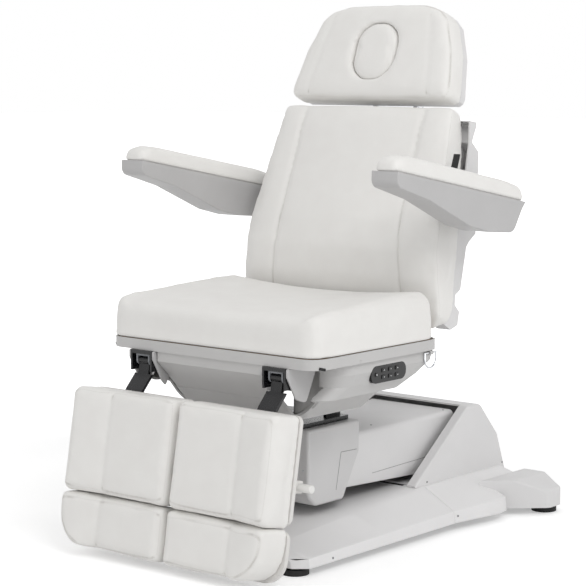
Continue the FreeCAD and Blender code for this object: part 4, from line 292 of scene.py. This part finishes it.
# Pieces
def piece_from(work, name, body, material, smooth=True):
    """Turns a finished bmesh into a piece that rides on a body."""
    mesh = bpy.data.meshes.new(name)
    for face in work.faces:
        face.smooth = smooth
    work.to_mesh(mesh)
    work.free()
    piece = bpy.data.objects.new(name, mesh)
    scene.collection.objects.link(piece)
    mesh.materials.append(material)
    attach(piece, body)
    return piece


def finished(piece):
    """The piece's mesh with its modifiers applied."""
    graph = bpy.context.evaluated_depsgraph_get()
    mesh = bpy.data.meshes.new_from_object(piece.evaluated_get(graph))
    piece.modifiers.clear()
    piece.data = mesh
    return mesh


def along(points, step=3 * MM):
    """Evenly spaced points on a smooth line through a few."""
    curve = bpy.data.curves.new("line", "CURVE")
    curve.dimensions = "3D"
    curve.resolution_u = 24
    spline = curve.splines.new("NURBS")
    spline.points.add(len(points) - 1)
    for knot, point in zip(spline.points, points):
        knot.co = (*point, 1)
    spline.order_u = 3
    spline.use_endpoint_u = True
    holder = bpy.data.objects.new("line", curve)
    scene.collection.objects.link(holder)
    line = bpy.data.meshes.new_from_object(holder)
    path = [vertex.co.copy() for vertex in line.vertices]
    bpy.data.objects.remove(holder)
    even, left = [path[0]], step
    for start, end in zip(path, path[1:]):
        length = (end - start).length
        while left <= length:
            even.append(start.lerp(end, left / length))
            left += step
        left -= length
    return even


def nearest(lines):
    """Search tree over the points of several lines."""
    points = [point for line in lines for point in line]
    tree = KDTree(len(points))
    for index, point in enumerate(points):
        tree.insert(point, index)
    tree.balance()
    return tree


def ease(value):
    value = np.clip(value, 0.0, 1.0)
    return value * value * (3 - 2 * value)


def places(mesh):
    """The mesh's points as rows of an array."""
    rows = np.empty(len(mesh.vertices) * 3)
    mesh.vertices.foreach_get("co", rows)
    return rows.reshape(-1, 3)


def outward(mesh):
    rows = np.empty(len(mesh.vertices) * 3)
    mesh.vertex_normals.foreach_get("vector", rows)
    return rows.reshape(-1, 3)


def set_places(mesh, rows):
    mesh.vertices.foreach_set("co", rows.ravel())
    mesh.update()


def distance(tree, rows):
    """How far each point is from a set of lines, or far away where there are none."""
    if tree is None:
        return np.full(len(rows), 1.0)
    return np.array([tree.find(row)[2] for row in rows])


def ripple(rows, size):
    return np.array([noise.noise(Vector(row) / size) for row in rows])


def surface_tree(mesh):
    work = bmesh.new()
    work.from_mesh(mesh)
    tree = BVHTree.FromBMesh(work)
    work.free()
    return tree


def reached(rows, way, start, end, amount):
    """Points moved along a way: none before its start and the whole amount past its end."""
    run = rows @ np.array(way)
    return rows + np.outer(ease((run - start) / (end - start)) * amount, way)


# Upholstery: how wide and deep its creases, puckers and sewn valleys are
CREASE_WIDTH, CREASE_DEPTH = 2.0 * MM, 1.0 * MM
PUCKER_SIZE, PUCKER_WIDTH, PUCKER_DEPTH = 16 * MM, 14 * MM, 0.2 * MM
VALLEY_WIDTH, VALLEY_DEPTH = 9 * MM, 1.6 * MM
WAVE_SIZE, WAVE_DEPTH = 70 * MM, 0.4 * MM
BOARD_HOLD, BOARD_SHARE = 18 * MM, 0.15
CLOTH_PRESSURE, CLOTH_STEPS = 4.0, 20


def upholster(node, body, seat_point, seat_way, seams, channels=(), voxel=5 * MM, cap=3 * MM,
              start_in=1.5 * MM, reach=(), soft=5):
    """The cushion that stands for a CAD solid. Its cover is blown up from a slightly smaller
    form, held flat on its board, and then creased at its seams and sewn channels."""
    work = bmesh.new()
    work.from_mesh(nodes[node].data)
    bmesh.ops.remove_doubles(work, verts=work.verts, dist=0.01 * MM)
    mesh = bpy.data.meshes.new(node + "_cover")
    work.to_mesh(mesh)
    work.free()
    piece = bpy.data.objects.new(node + "_cover", mesh)
    scene.collection.objects.link(piece)
    remesh = piece.modifiers.new("weave", "REMESH")
    remesh.mode = "VOXEL"
    remesh.voxel_size = voxel
    mesh = finished(piece)
    seams = [along(line) for line in seams]
    channels = [along(line) for line in channels]
    sewn = nearest(seams + channels) if seams or channels else None
    held = nearest(channels) if channels else None

    def freedom(rows):
        """How far each point of the cover may move: not where it lies on its board."""
        lift = (rows - np.array(seat_point)) @ np.array(seat_way)
        return ease(lift / BOARD_HOLD - BOARD_SHARE)

    rows = places(mesh)
    for way, begin, end, amount in reach:
        rows = reached(rows, way, begin, end, amount)
    set_places(mesh, rows)
    free = freedom(rows)[:, None]
    start = rows - outward(mesh) * start_in * free
    set_places(mesh, start)
    cloth = piece.modifiers.new("cover", "CLOTH")
    cloth.settings.use_pressure = True
    cloth.settings.uniform_pressure_force = CLOTH_PRESSURE
    cloth.settings.effector_weights.gravity = 0
    for count in range(1, CLOTH_STEPS + 1):
        scene.frame_set(count)
    mesh = finished(piece)
    scene.frame_set(1)
    move = places(mesh) - start
    length = np.linalg.norm(move, axis=1, keepdims=True)
    move *= np.minimum(1.0, cap / np.maximum(length, 1e-9))
    set_places(mesh, start + move * free)
    smooth = piece.modifiers.new("smooth", "SMOOTH")
    smooth.iterations = soft
    divide = piece.modifiers.new("divide", "SUBSURF")
    divide.levels = divide.render_levels = 1
    mesh = finished(piece)
    rows = places(mesh)
    away = distance(sewn, rows)
    creased = np.exp(-(away / CREASE_WIDTH) ** 2)
    pucker = ripple(rows, PUCKER_SIZE) * PUCKER_DEPTH * np.exp(-(away / PUCKER_WIDTH) ** 2)
    valley = VALLEY_DEPTH * np.exp(-(distance(held, rows) / VALLEY_WIDTH) ** 2)
    depth = CREASE_DEPTH * creased + pucker + valley + ripple(rows, WAVE_SIZE) * WAVE_DEPTH
    depth *= np.minimum(1.0, freedom(rows) + BOARD_SHARE)
    set_places(mesh, rows - outward(mesh) * depth[:, None])
    # Painted shade: the crease weight is kept on the mesh so the leather can darken its seams and
    # channels.
    crease_shade_layer = mesh.attributes.new("seam", "FLOAT", "POINT")
    crease_shade_layer.data.foreach_set("value", creased)
    mesh.shade_smooth()
    mesh.materials.clear()
    mesh.materials.append(LEATHER)
    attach(piece, body)
    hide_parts(node)
    stitch(piece, body, seams)


STITCH_SIZE, STITCH_BESIDE = (1.7 * MM, 0.5 * MM, 0.45 * MM), 2.6 * MM


def stitch(cushion, body, seams):
    """A row of short stitches beside each seam, lying on the cover."""
    if not seams:
        return
    tree = surface_tree(cushion.data)
    work = bmesh.new()
    for line in seams:
        even = line[::2]
        for start, end in zip(even, even[1:]):
            run = end - start
            place, normal, _, _ = tree.find_nearest((start + end) / 2)
            beside = place + run.cross(normal).normalized() * STITCH_BESIDE
            place, normal, _, _ = tree.find_nearest(beside)
            run = (run - normal * run.dot(normal)).normalized()
            basis = Matrix((run, normal.cross(run), normal)).transposed().to_4x4()
            size = Matrix.Diagonal((*STITCH_SIZE, 1))
            bmesh.ops.create_icosphere(work, subdivisions=1, radius=1,
                                       matrix=Matrix.Translation(place) @ basis @ size)
    thread = piece_from(work, cushion.name.replace("_cover", "_stitches"), body, THREAD)


# Back cushion: level, half width, front and channel place in millimetres
BACK_ROWS = ((57, 288, 50, 193), (90, 292, 66, 190), (128, 290, 86, 187), (189, 286, 107, 181),
             (253, 282, 115, 175), (387, 266, 115, 174), (466, 256, 115, 174), (516, 249, 114, 174))
BACK_FRONT_WAY = on_back(0, -1, 0) - on_back(0, 0, 0)
BACK_UP = (on_back(0, 0, 1) - on_back(0, 0, 0)).normalized()
BACK_REACH, HEAD_REACH, LEG_REACH = 9 * MM, -4 * MM, 6 * MM


def back_cushion():
    channels = [[on_back(side * channel, -front, level) for level, _, front, channel in BACK_ROWS]
                for side in (1, -1)]
    seams = [[on_back(side * half, 8 - front, level) for level, half, front, _ in BACK_ROWS]
             for side in (1, -1)]
    upholster("back_cushion", "back", on_back(0, 10, 100), BACK_FRONT_WAY.normalized(), seams,
              channels, voxel=6 * MM, cap=4 * MM,
              reach=[(BACK_UP, BACK_UP.dot(on_back(0, 0, 380)), BACK_UP.dot(on_back(0, 0, 520)),
                      BACK_REACH)])


def seat_cushion():
    upholster("seat_cushion", "seat", Vector((0, 0, 0.465)), Vector((0, 0, 1)), [], (),
              voxel=6 * MM, cap=3 * MM, start_in=1 * MM)


# Headrest: level and half width in millimetres
HEAD_ROWS = ((554, 222), (566, 233), (600, 230), (665, 216), (740, 186), (762, 163), (776, 120))


def headrest():
    edge = [on_back(half - 6, -108, level) for level, half in HEAD_ROWS]
    far = [on_back(6 - half, -108, level) for level, half in reversed(HEAD_ROWS)]
    foot = [on_back(across, -108, 558) for across in (-200, -100, 0, 100, 200)]
    channels = [[on_back(side * across, -118, level)
                 for level, across in ((556, 174), (600, 170), (660, 160), (715, 148), (748, 140))]
                for side in (1, -1)]
    way = BACK_FRONT_WAY.normalized()
    upholster("headrest_cushion", "headrest", on_back(0, -60, 660), way, [edge + far + foot],
              channels, cap=2 * MM, start_in=0, soft=12,
              reach=[(-BACK_UP, -BACK_UP.dot(on_back(0, 0, 600)), -BACK_UP.dot(on_back(0, 0, 560)),
                      -HEAD_REACH)])
    upholster("headrest_plug", "plug", on_back(0, -64, 660), way, [], cap=2 * MM,
              start_in=1 * MM, voxel=4 * MM)


def armrest_pads():
    for name, side in SIDES.items():
        seat = leaned(ARMREST_HUB, ARMREST_LEAN, side * 365, -200, 30)
        up = (leaned(ARMREST_HUB, ARMREST_LEAN, 0, 0, 1) - ARMREST_HUB).normalized()
        upholster("armrest_pad_" + name, "armrest_" + name, seat, up, [], cap=3 * MM,
                  start_in=-1 * MM, voxel=4 * MM, soft=8)


LEG_DOWN = (on_leg(1, 0, 0, -1) - on_leg(1, 0, 0, 0)).normalized()


def leg_pads():
    """Leg and foot pads, each with a seam round its face and one sewn channel."""
    for name, side in SIDES.items():
        way = (on_leg(side, 0, -1, 0) - on_leg(side, 0, 0, 0)).normalized()
        inner, outer, face, wing = 7, 293, -98, -117
        top, foot = -76, -290
        ring = [(inner, face, foot + 10), (inner, face, top - 10), (inner + 8, face, top),
                (150, face, top), (190, face, top), (215, wing, top), (outer - 20, wing, top),
                (outer - 2, wing, top - 14), (outer, wing, -140), (outer, wing, foot + 14),
                (outer - 12, wing, foot), (215, wing, foot), (190, face, foot), (150, face, foot),
                (inner + 8, face, foot)]
        channel = [(188, -98, top + 4), (188, -95, -140), (188, -95, -220), (188, -98, foot - 4)]
        upholster("leg_pad_" + name, "leg_" + name, on_leg(side, 0, -40, -180), way,
                  [[on_leg(side, *point) for point in ring + ring[:1]]],
                  [[on_leg(side, *point) for point in channel]], cap=2.5 * MM, start_in=0.5 * MM,
                  reach=[(LEG_DOWN, LEG_DOWN.dot(on_leg(1, 0, 0, -240)),
                          LEG_DOWN.dot(on_leg(1, 0, 0, -290)), LEG_REACH)])
        top, foot = -315, -414
        ring = [(inner, face, foot + 10), (inner, face, top - 8), (inner + 8, face, top),
                (150, face, top), (190, face, top), (215, wing, top), (outer - 14, wing, top),
                (outer - 2, wing, top - 10), (outer - 6, wing, -355), (outer - 26, wing, -389),
                (outer - 62, wing, -411), (215, wing, foot), (190, face, foot), (150, face, foot),
                (inner + 8, face, foot)]
        channel = [(188, -98, top + 4), (188, -95, -350), (188, -95, -390), (188, -98, foot - 4)]
        upholster("foot_pad_" + name, "foot_" + name, on_leg(side, 0, -40, -360), way,
                  [[on_leg(side, *point) for point in ring + ring[:1]]],
                  [[on_leg(side, *point) for point in channel]], cap=2.5 * MM, start_in=0.5 * MM,
                  reach=[(-LEG_DOWN, -LEG_DOWN.dot(on_leg(1, 0, 0, -360)),
                          -LEG_DOWN.dot(on_leg(1, 0, 0, -318)), LEG_REACH)])


# Mouldings
SHARP_ANGLE, ROUNDED_ANGLE, FLAT_ANGLE = (math.radians(angle) for angle in (16, 30, 0.5))


def crisp(piece):
    """Keeps flat faces flat beside the rounded edges."""
    piece.data.set_sharp_from_angle(angle=SHARP_ANGLE)


def soften(node, width):
    """The moulding that stands for a CAD cover, with its edges rounded as they leave the mould."""
    work = bmesh.new()
    work.from_mesh(nodes[node].data)
    bmesh.ops.remove_doubles(work, verts=work.verts, dist=0.01 * MM)
    bmesh.ops.dissolve_limit(work, angle_limit=FLAT_ANGLE, verts=work.verts, edges=work.edges)
    body = next(name for name, held in frame["record"]["behaviour"]["bodies"].items()
                if node in held)
    piece = piece_from(work, node + "_moulding", body, nodes[node].data.materials[0])
    rounding = piece.modifiers.new("edges", "BEVEL")
    rounding.width = width
    rounding.segments = 6
    rounding.limit_method = "ANGLE"
    rounding.angle_limit = ROUNDED_ANGLE
    rounding.harden_normals = True
    finished(piece)
    crisp(piece)
    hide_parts(node)


# Wedge at each side of the seat's moulding: outline in millimetres, front, depth and floor
TRAY_OUTLINE = ((146, 318), (205, 340), (262, 402), (262, 440), (146, 440))
TRAY_FRONT, TRAY_DEPTH, TRAY_REAR_FLOOR = -264 * MM, 130 * MM, 372 * MM


def seat_wings():
    """Sides of the seat's moulding that close the tray behind the leg brackets."""
    for name, side in SIDES.items():
        work = bmesh.new()
        face = work.faces.new([work.verts.new((side * x * MM, TRAY_FRONT, z * MM))
                               for x, z in TRAY_OUTLINE])
        pulled = bmesh.ops.extrude_face_region(work, geom=[face])["geom"]
        rear = [item for item in pulled if isinstance(item, bmesh.types.BMVert)]
        bmesh.ops.translate(work, verts=rear, vec=(0, TRAY_DEPTH, 0))
        for vertex in rear:
            vertex.co.z = max(vertex.co.z, TRAY_REAR_FLOOR)
        bmesh.ops.recalc_face_normals(work, faces=work.faces)
        bmesh.ops.bevel(work, geom=work.edges[:], offset=5 * MM, affect="EDGES", segments=3,
                        profile=0.5, material=-1)
        wing = piece_from(work, "seat_wing_" + name, "seat", SHELL)


# Plan of one outrigger wing in millimetres, and how its top falls from the cover to the tip
WING_PLAN = ((222, 335), (284, 392), (328, 433), (341, 445), (347, 455), (347, 498), (341, 508),
             (328, 513), (284, 530), (222, 530))
WING_FLOOR, WING_TOP, WING_LEDGE, WING_TIP = 18, 86, 80, 60
WING_ROOT, WING_END = 292, 347
BEAM_SIZE, BEAM_PLACE = (0.45, 0.058, 0.035), (0, 0.488, 0.0355)


def outrigger():
    """Cross beam with two wings that taper to their tips over the rear feet."""
    work = bmesh.new()
    beam = bmesh.ops.create_cube(work, size=1)["verts"]
    bmesh.ops.scale(work, verts=beam, vec=BEAM_SIZE)
    bmesh.ops.translate(work, verts=beam, vec=BEAM_PLACE)
    for side in SIDES.values():
        ring = [work.verts.new((side * x * MM, y * MM, WING_FLOOR * MM)) for x, y in WING_PLAN]
        face = work.faces.new(ring)
        pulled = bmesh.ops.extrude_face_region(work, geom=[face])["geom"]
        for vertex in (item for item in pulled if isinstance(item, bmesh.types.BMVert)):
            run = (abs(vertex.co.x) / MM - WING_ROOT) / (WING_END - WING_ROOT)
            level = WING_TOP if run <= 0 else WING_LEDGE + (WING_TIP - WING_LEDGE) * run
            vertex.co.z = level * MM
        cap = [item for item in pulled if isinstance(item, bmesh.types.BMFace)]
        rim = list(cap[0].edges)
        bmesh.ops.triangulate(work, faces=[cap[0], face])
        bmesh.ops.bevel(work, geom=rim, offset=6 * MM, affect="EDGES", segments=4, profile=0.5,
                        material=-1)
    bmesh.ops.recalc_face_normals(work, faces=work.faces)
    piece = piece_from(work, "rear_outrigger_moulding", "base", COVER)
    finished(piece)
    crisp(piece)
    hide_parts("rear_outrigger")


def sight(surface, across, down):
    """Point and outward way where the photograph's ray through a pixel meets a surface."""
    way = CAMERA_WAY.normalized()
    right = way.cross(Vector((0, 0, 1))).normalized()
    upward = right.cross(way)
    step = CAMERA_FILM / CAMERA_LENS / PHOTO_SIZE
    half = PHOTO_SIZE / 2
    ray = (way + right * (across - half) * step - upward * (down - half) * step).normalized()
    place, normal, _, _ = surface.ray_cast(CAMERA_PLACE, ray)
    if place is None:
        return None
    return place, (normal if normal.dot(ray) < 0 else -normal)


def node_tree(name):
    return surface_tree(bpy.data.objects[name].data)


def turned(place, normal):
    return Matrix.Translation(place) @ normal.to_track_quat("Z", "Y").to_matrix().to_4x4()


def mirrored(work):
    """Adds the same parts on the chair's other side."""
    bmesh.ops.mirror(work, geom=work.verts[:] + work.edges[:] + work.faces[:], axis="X",
                     merge_dist=-1)
    bmesh.ops.recalc_face_normals(work, faces=work.faces)


def screws(name, body, surface, spots, radius, material, slot):
    """Flat-headed screws with a recess, sunk by half a head, on both sides of the chair."""
    work = bmesh.new()
    for across, down in spots:
        hit = sight(surface, across, down)
        if hit is None:
            continue
        made = bmesh.ops.create_cone(work, cap_ends=True, segments=20, radius1=radius,
                                     radius2=radius * 0.82, depth=1.4 * MM,
                                     matrix=turned(*hit))["verts"]
        top = [face for face in {f for v in made for f in v.link_faces}
               if face.normal.dot(hit[1]) > 0.9 and len(face.verts) > 4]
        bmesh.ops.inset_region(work, faces=top, thickness=radius * 0.38)
        for face in top:
            bmesh.ops.translate(work, verts=face.verts, vec=-hit[1] * 0.6 * MM)
    mirrored(work)
    piece = piece_from(work, name, body, material, smooth=False)


def seam_line(name, body, surface, routes, radius, material, slot):
    """Thin lines on a moulding, each along a few photographed points, on both sides: joint lines,
    or a dark strip of painted shade in an opening.
    """
    work = bmesh.new()
    for route in routes:
        points = []
        for (x0, y0), (x1, y1) in zip(route, route[1:]):
            count = max(2, int(math.hypot(x1 - x0, y1 - y0) / 3))
            for index in range(count + 1):
                share = index / count
                hit = sight(surface, x0 + (x1 - x0) * share, y0 + (y1 - y0) * share)
                if hit and (not points or (hit[0] - points[-1]).length > 0.5 * MM):
                    if not points or (hit[0] - points[-1]).length < 40 * MM:
                        points.append(hit[0])
        curve = bpy.data.curves.new("seam", "CURVE")
        curve.dimensions = "3D"
        curve.bevel_depth = radius
        curve.bevel_resolution = 1
        curve.use_fill_caps = True
        spline = curve.splines.new("POLY")
        spline.points.add(len(points) - 1)
        for knot, point in zip(spline.points, points):
            knot.co = (*point, 1)
        holder = bpy.data.objects.new("seam", curve)
        scene.collection.objects.link(holder)
        work.from_mesh(bpy.data.meshes.new_from_object(holder))
        bpy.data.objects.remove(holder)
    mirrored(work)
    piece = piece_from(work, name, body, material)


def key_marks():
    """A small arrow on each up and down key and a dot on the power key."""
    for key in ("key_power", "key_up_1", "key_up_2", "key_up_3", "key_down_1", "key_down_2",
                "key_down_3"):
        low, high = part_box(key)
        middle = (Vector(low) + Vector(high)) / 2
        middle.x = Vector(high).x
        work = bmesh.new()
        sides = 16 if key == "key_power" else 3
        way = math.pi if "down" in key else 0.0
        place = Matrix.Translation(middle) @ Matrix.Rotation(math.radians(90), 4, "Y")
        place = place @ Matrix.Rotation(way + (math.pi / 2 if sides == 3 else 0), 4, "Z")
        bmesh.ops.create_cone(work, cap_ends=True, segments=sides, radius1=1.7 * MM,
                              radius2=1.6 * MM, depth=0.5 * MM, matrix=place)
        mark = piece_from(work, key + "_mark", key, SYMBOL_WHITE, smooth=False)


# Pixels of the photograph at which screws, panel lines and openings show; the beam's opening is
# drawn as a black strip of painted shade
HEAD_SCREWS, ARM_SCREWS = [(303, 471)], [(371, 425), (443, 410)]
TOWER_SCREWS, FRONT_SCREWS, REAR_SCREWS = [(427, 482), (502, 462)], [(333, 558)], [(458, 516)]
HEAD_PANEL = [[(341, 452), (366, 447)], [(341, 452), (336, 490)]]
ARM_CREASE = [[(372, 473), (442, 452)]]
BEAM_MOUTH_SHADE = [[(319, 369), (331, 371), (344, 372)]]
SHELL_BOSS = [(361, 362)]


def fittings():
    """Screws, panel lines, a black strip of painted shade in the beam's opening, and key marks on
    the mouldings.
    """
    head = node_tree("lift_head_cover_moulding")
    arm = node_tree("lift_arm_cover_moulding")
    tower = node_tree("tower_cover")
    front, rear = node_tree("base_cover_front_moulding"), node_tree("base_cover_rear_moulding")
    shell = node_tree("seat_shell")
    cover = (SEAM_GREY, "grey_cover")
    screws("head_cover_screws", "head", head, HEAD_SCREWS, 2.6 * MM, PIN_STEEL, "grey_steel")
    screws("arm_cover_screws", "lift", arm, ARM_SCREWS, 2.8 * MM, *cover)
    screws("tower_screws", "base", tower, TOWER_SCREWS, 2.8 * MM, *cover)
    screws("front_cover_screws", "base", front, FRONT_SCREWS, 3 * MM, *cover)
    screws("rear_cover_screws", "base", rear, REAR_SCREWS, 3 * MM, *cover)
    seam_line("head_cover_panel", "head", head, HEAD_PANEL, 0.7 * MM, *cover)
    seam_line("arm_cover_crease", "lift", arm, ARM_CREASE, 0.6 * MM, *cover)
    # Painted shade: a black rubber strip along the beam's opening stands in for the shade inside
    # it.
    seam_line("shell_beam_mouth_shade", "seat", shell, BEAM_MOUTH_SHADE, 3.4 * MM, RUBBER, "black_rubber")
    screws("shell_boss", "seat", shell, SHELL_BOSS, 4 * MM, SHELL, "grey_cover")
    key_marks()


seat_cushion()
back_cushion()
headrest()
armrest_pads()
leg_pads()
seat_wings()
for cover, width in (("armrest_moulding_left", 7), ("armrest_moulding_right", 7),
                     ("lift_head_cover", 14), ("lift_arm_cover", 4), ("base_cover_front", 4),
                     ("base_cover_rear", 4), ("leg_cheeks", 4)):
    soften(cover, width * MM)
outrigger()
fittings()


# Floor, light and camera: each lamp's name, place, size and power
LAMP_AIM = (0, 0, 0.6)
NEAR_FLOOR, FAR_FLOOR = 1.3, 2.6
SEEN_LIFT = 0.34
WORLD_LEVEL = 0.56
LAMPS = (("key_lamp", (3.2, -1.6, 3.4), 2.2, 60), ("top_lamp", (-0.6, 0.2, 4.0), 2.6, 10),
         ("front_lamp", (-1.5, -4.2, 1.8), 2.4, 12),
         ("side_lamp", (4.6, 0.6, 0.9), 1.8, 12))


def shown_directly(tree):
    """1 where the camera looks at a thing itself, in a reflection or through glass."""
    path = tree.nodes.new("ShaderNodeLightPath")
    rays = [Amount(tree, path.outputs[name])
            for name in ("Is Camera Ray", "Is Glossy Ray", "Is Transmission Ray")]
    return rays[0].math("MAXIMUM", rays[0], rays[0].math("MAXIMUM", rays[1], rays[2]))


def studio_floor():
    """White floor: it takes the chair's shadow, and far from the chair it is plain white."""
    work = bmesh.new()
    bmesh.ops.create_grid(work, x_segments=1, y_segments=1, size=30)
    mesh = bpy.data.meshes.new("floor")
    work.to_mesh(mesh)
    work.free()
    floor = bpy.data.objects.new("floor", mesh)
    scene.collection.objects.link(floor)
    f = Finish("pale_floor", Roughness=0.9, Specular_IOR_Level=0.1, Emission_Strength=1.0)
    away = f.node("VectorMath", {"operation": "LENGTH"}, output="Value", Vector=f.place)
    far = away.math("MINIMUM", away.math("MAXIMUM", (away - NEAR_FLOOR) / (FAR_FLOOR - NEAR_FLOOR),
                                         0.0), 1.0)
    seen = shown_directly(f.tree) * (SEEN_LIFT + far * (1 - SEEN_LIFT))
    f.set(Base_Color=f.mix(f.grain(0.4), rgb(247, 247, 247), rgb(250, 250, 250)),
          Emission_Color=f.mix(seen, (0, 0, 0, 1), (1, 1, 1, 1)))
    mesh.materials.append(f.material)


def studio_light():
    world = bpy.data.worlds.new("studio")
    scene.world = world
    world.use_nodes = True
    tree = world.node_tree
    tree.nodes.clear()
    strength = shown_directly(tree) * (1.0 - WORLD_LEVEL) + WORLD_LEVEL
    back = tree.nodes.new("ShaderNodeBackground")
    tree.links.new(strength.socket, back.inputs["Strength"])
    back.inputs["Color"].default_value = (1, 1, 1, 1)
    out = tree.nodes.new("ShaderNodeOutputWorld")
    tree.links.new(back.outputs[0], out.inputs["Surface"])
    for name, place, size, power in LAMPS:
        lamp = bpy.data.lights.new(name, "AREA")
        lamp.size = size
        lamp.energy = power
        holder = bpy.data.objects.new(name, lamp)
        holder.location = place
        aim = Vector(LAMP_AIM) - Vector(place)
        holder.rotation_euler = aim.to_track_quat("-Z", "Y").to_euler()
        scene.collection.objects.link(holder)


studio_floor()
studio_light()

camera = bpy.data.cameras.new("photo_camera")
camera.sensor_width = CAMERA_FILM
camera.lens = CAMERA_LENS
view = bpy.data.objects.new("photo_camera", camera)
view.location = CAMERA_PLACE
view.rotation_euler = CAMERA_WAY.to_track_quat("-Z", "Y").to_euler()
scene.collection.objects.link(view)
scene.camera = view
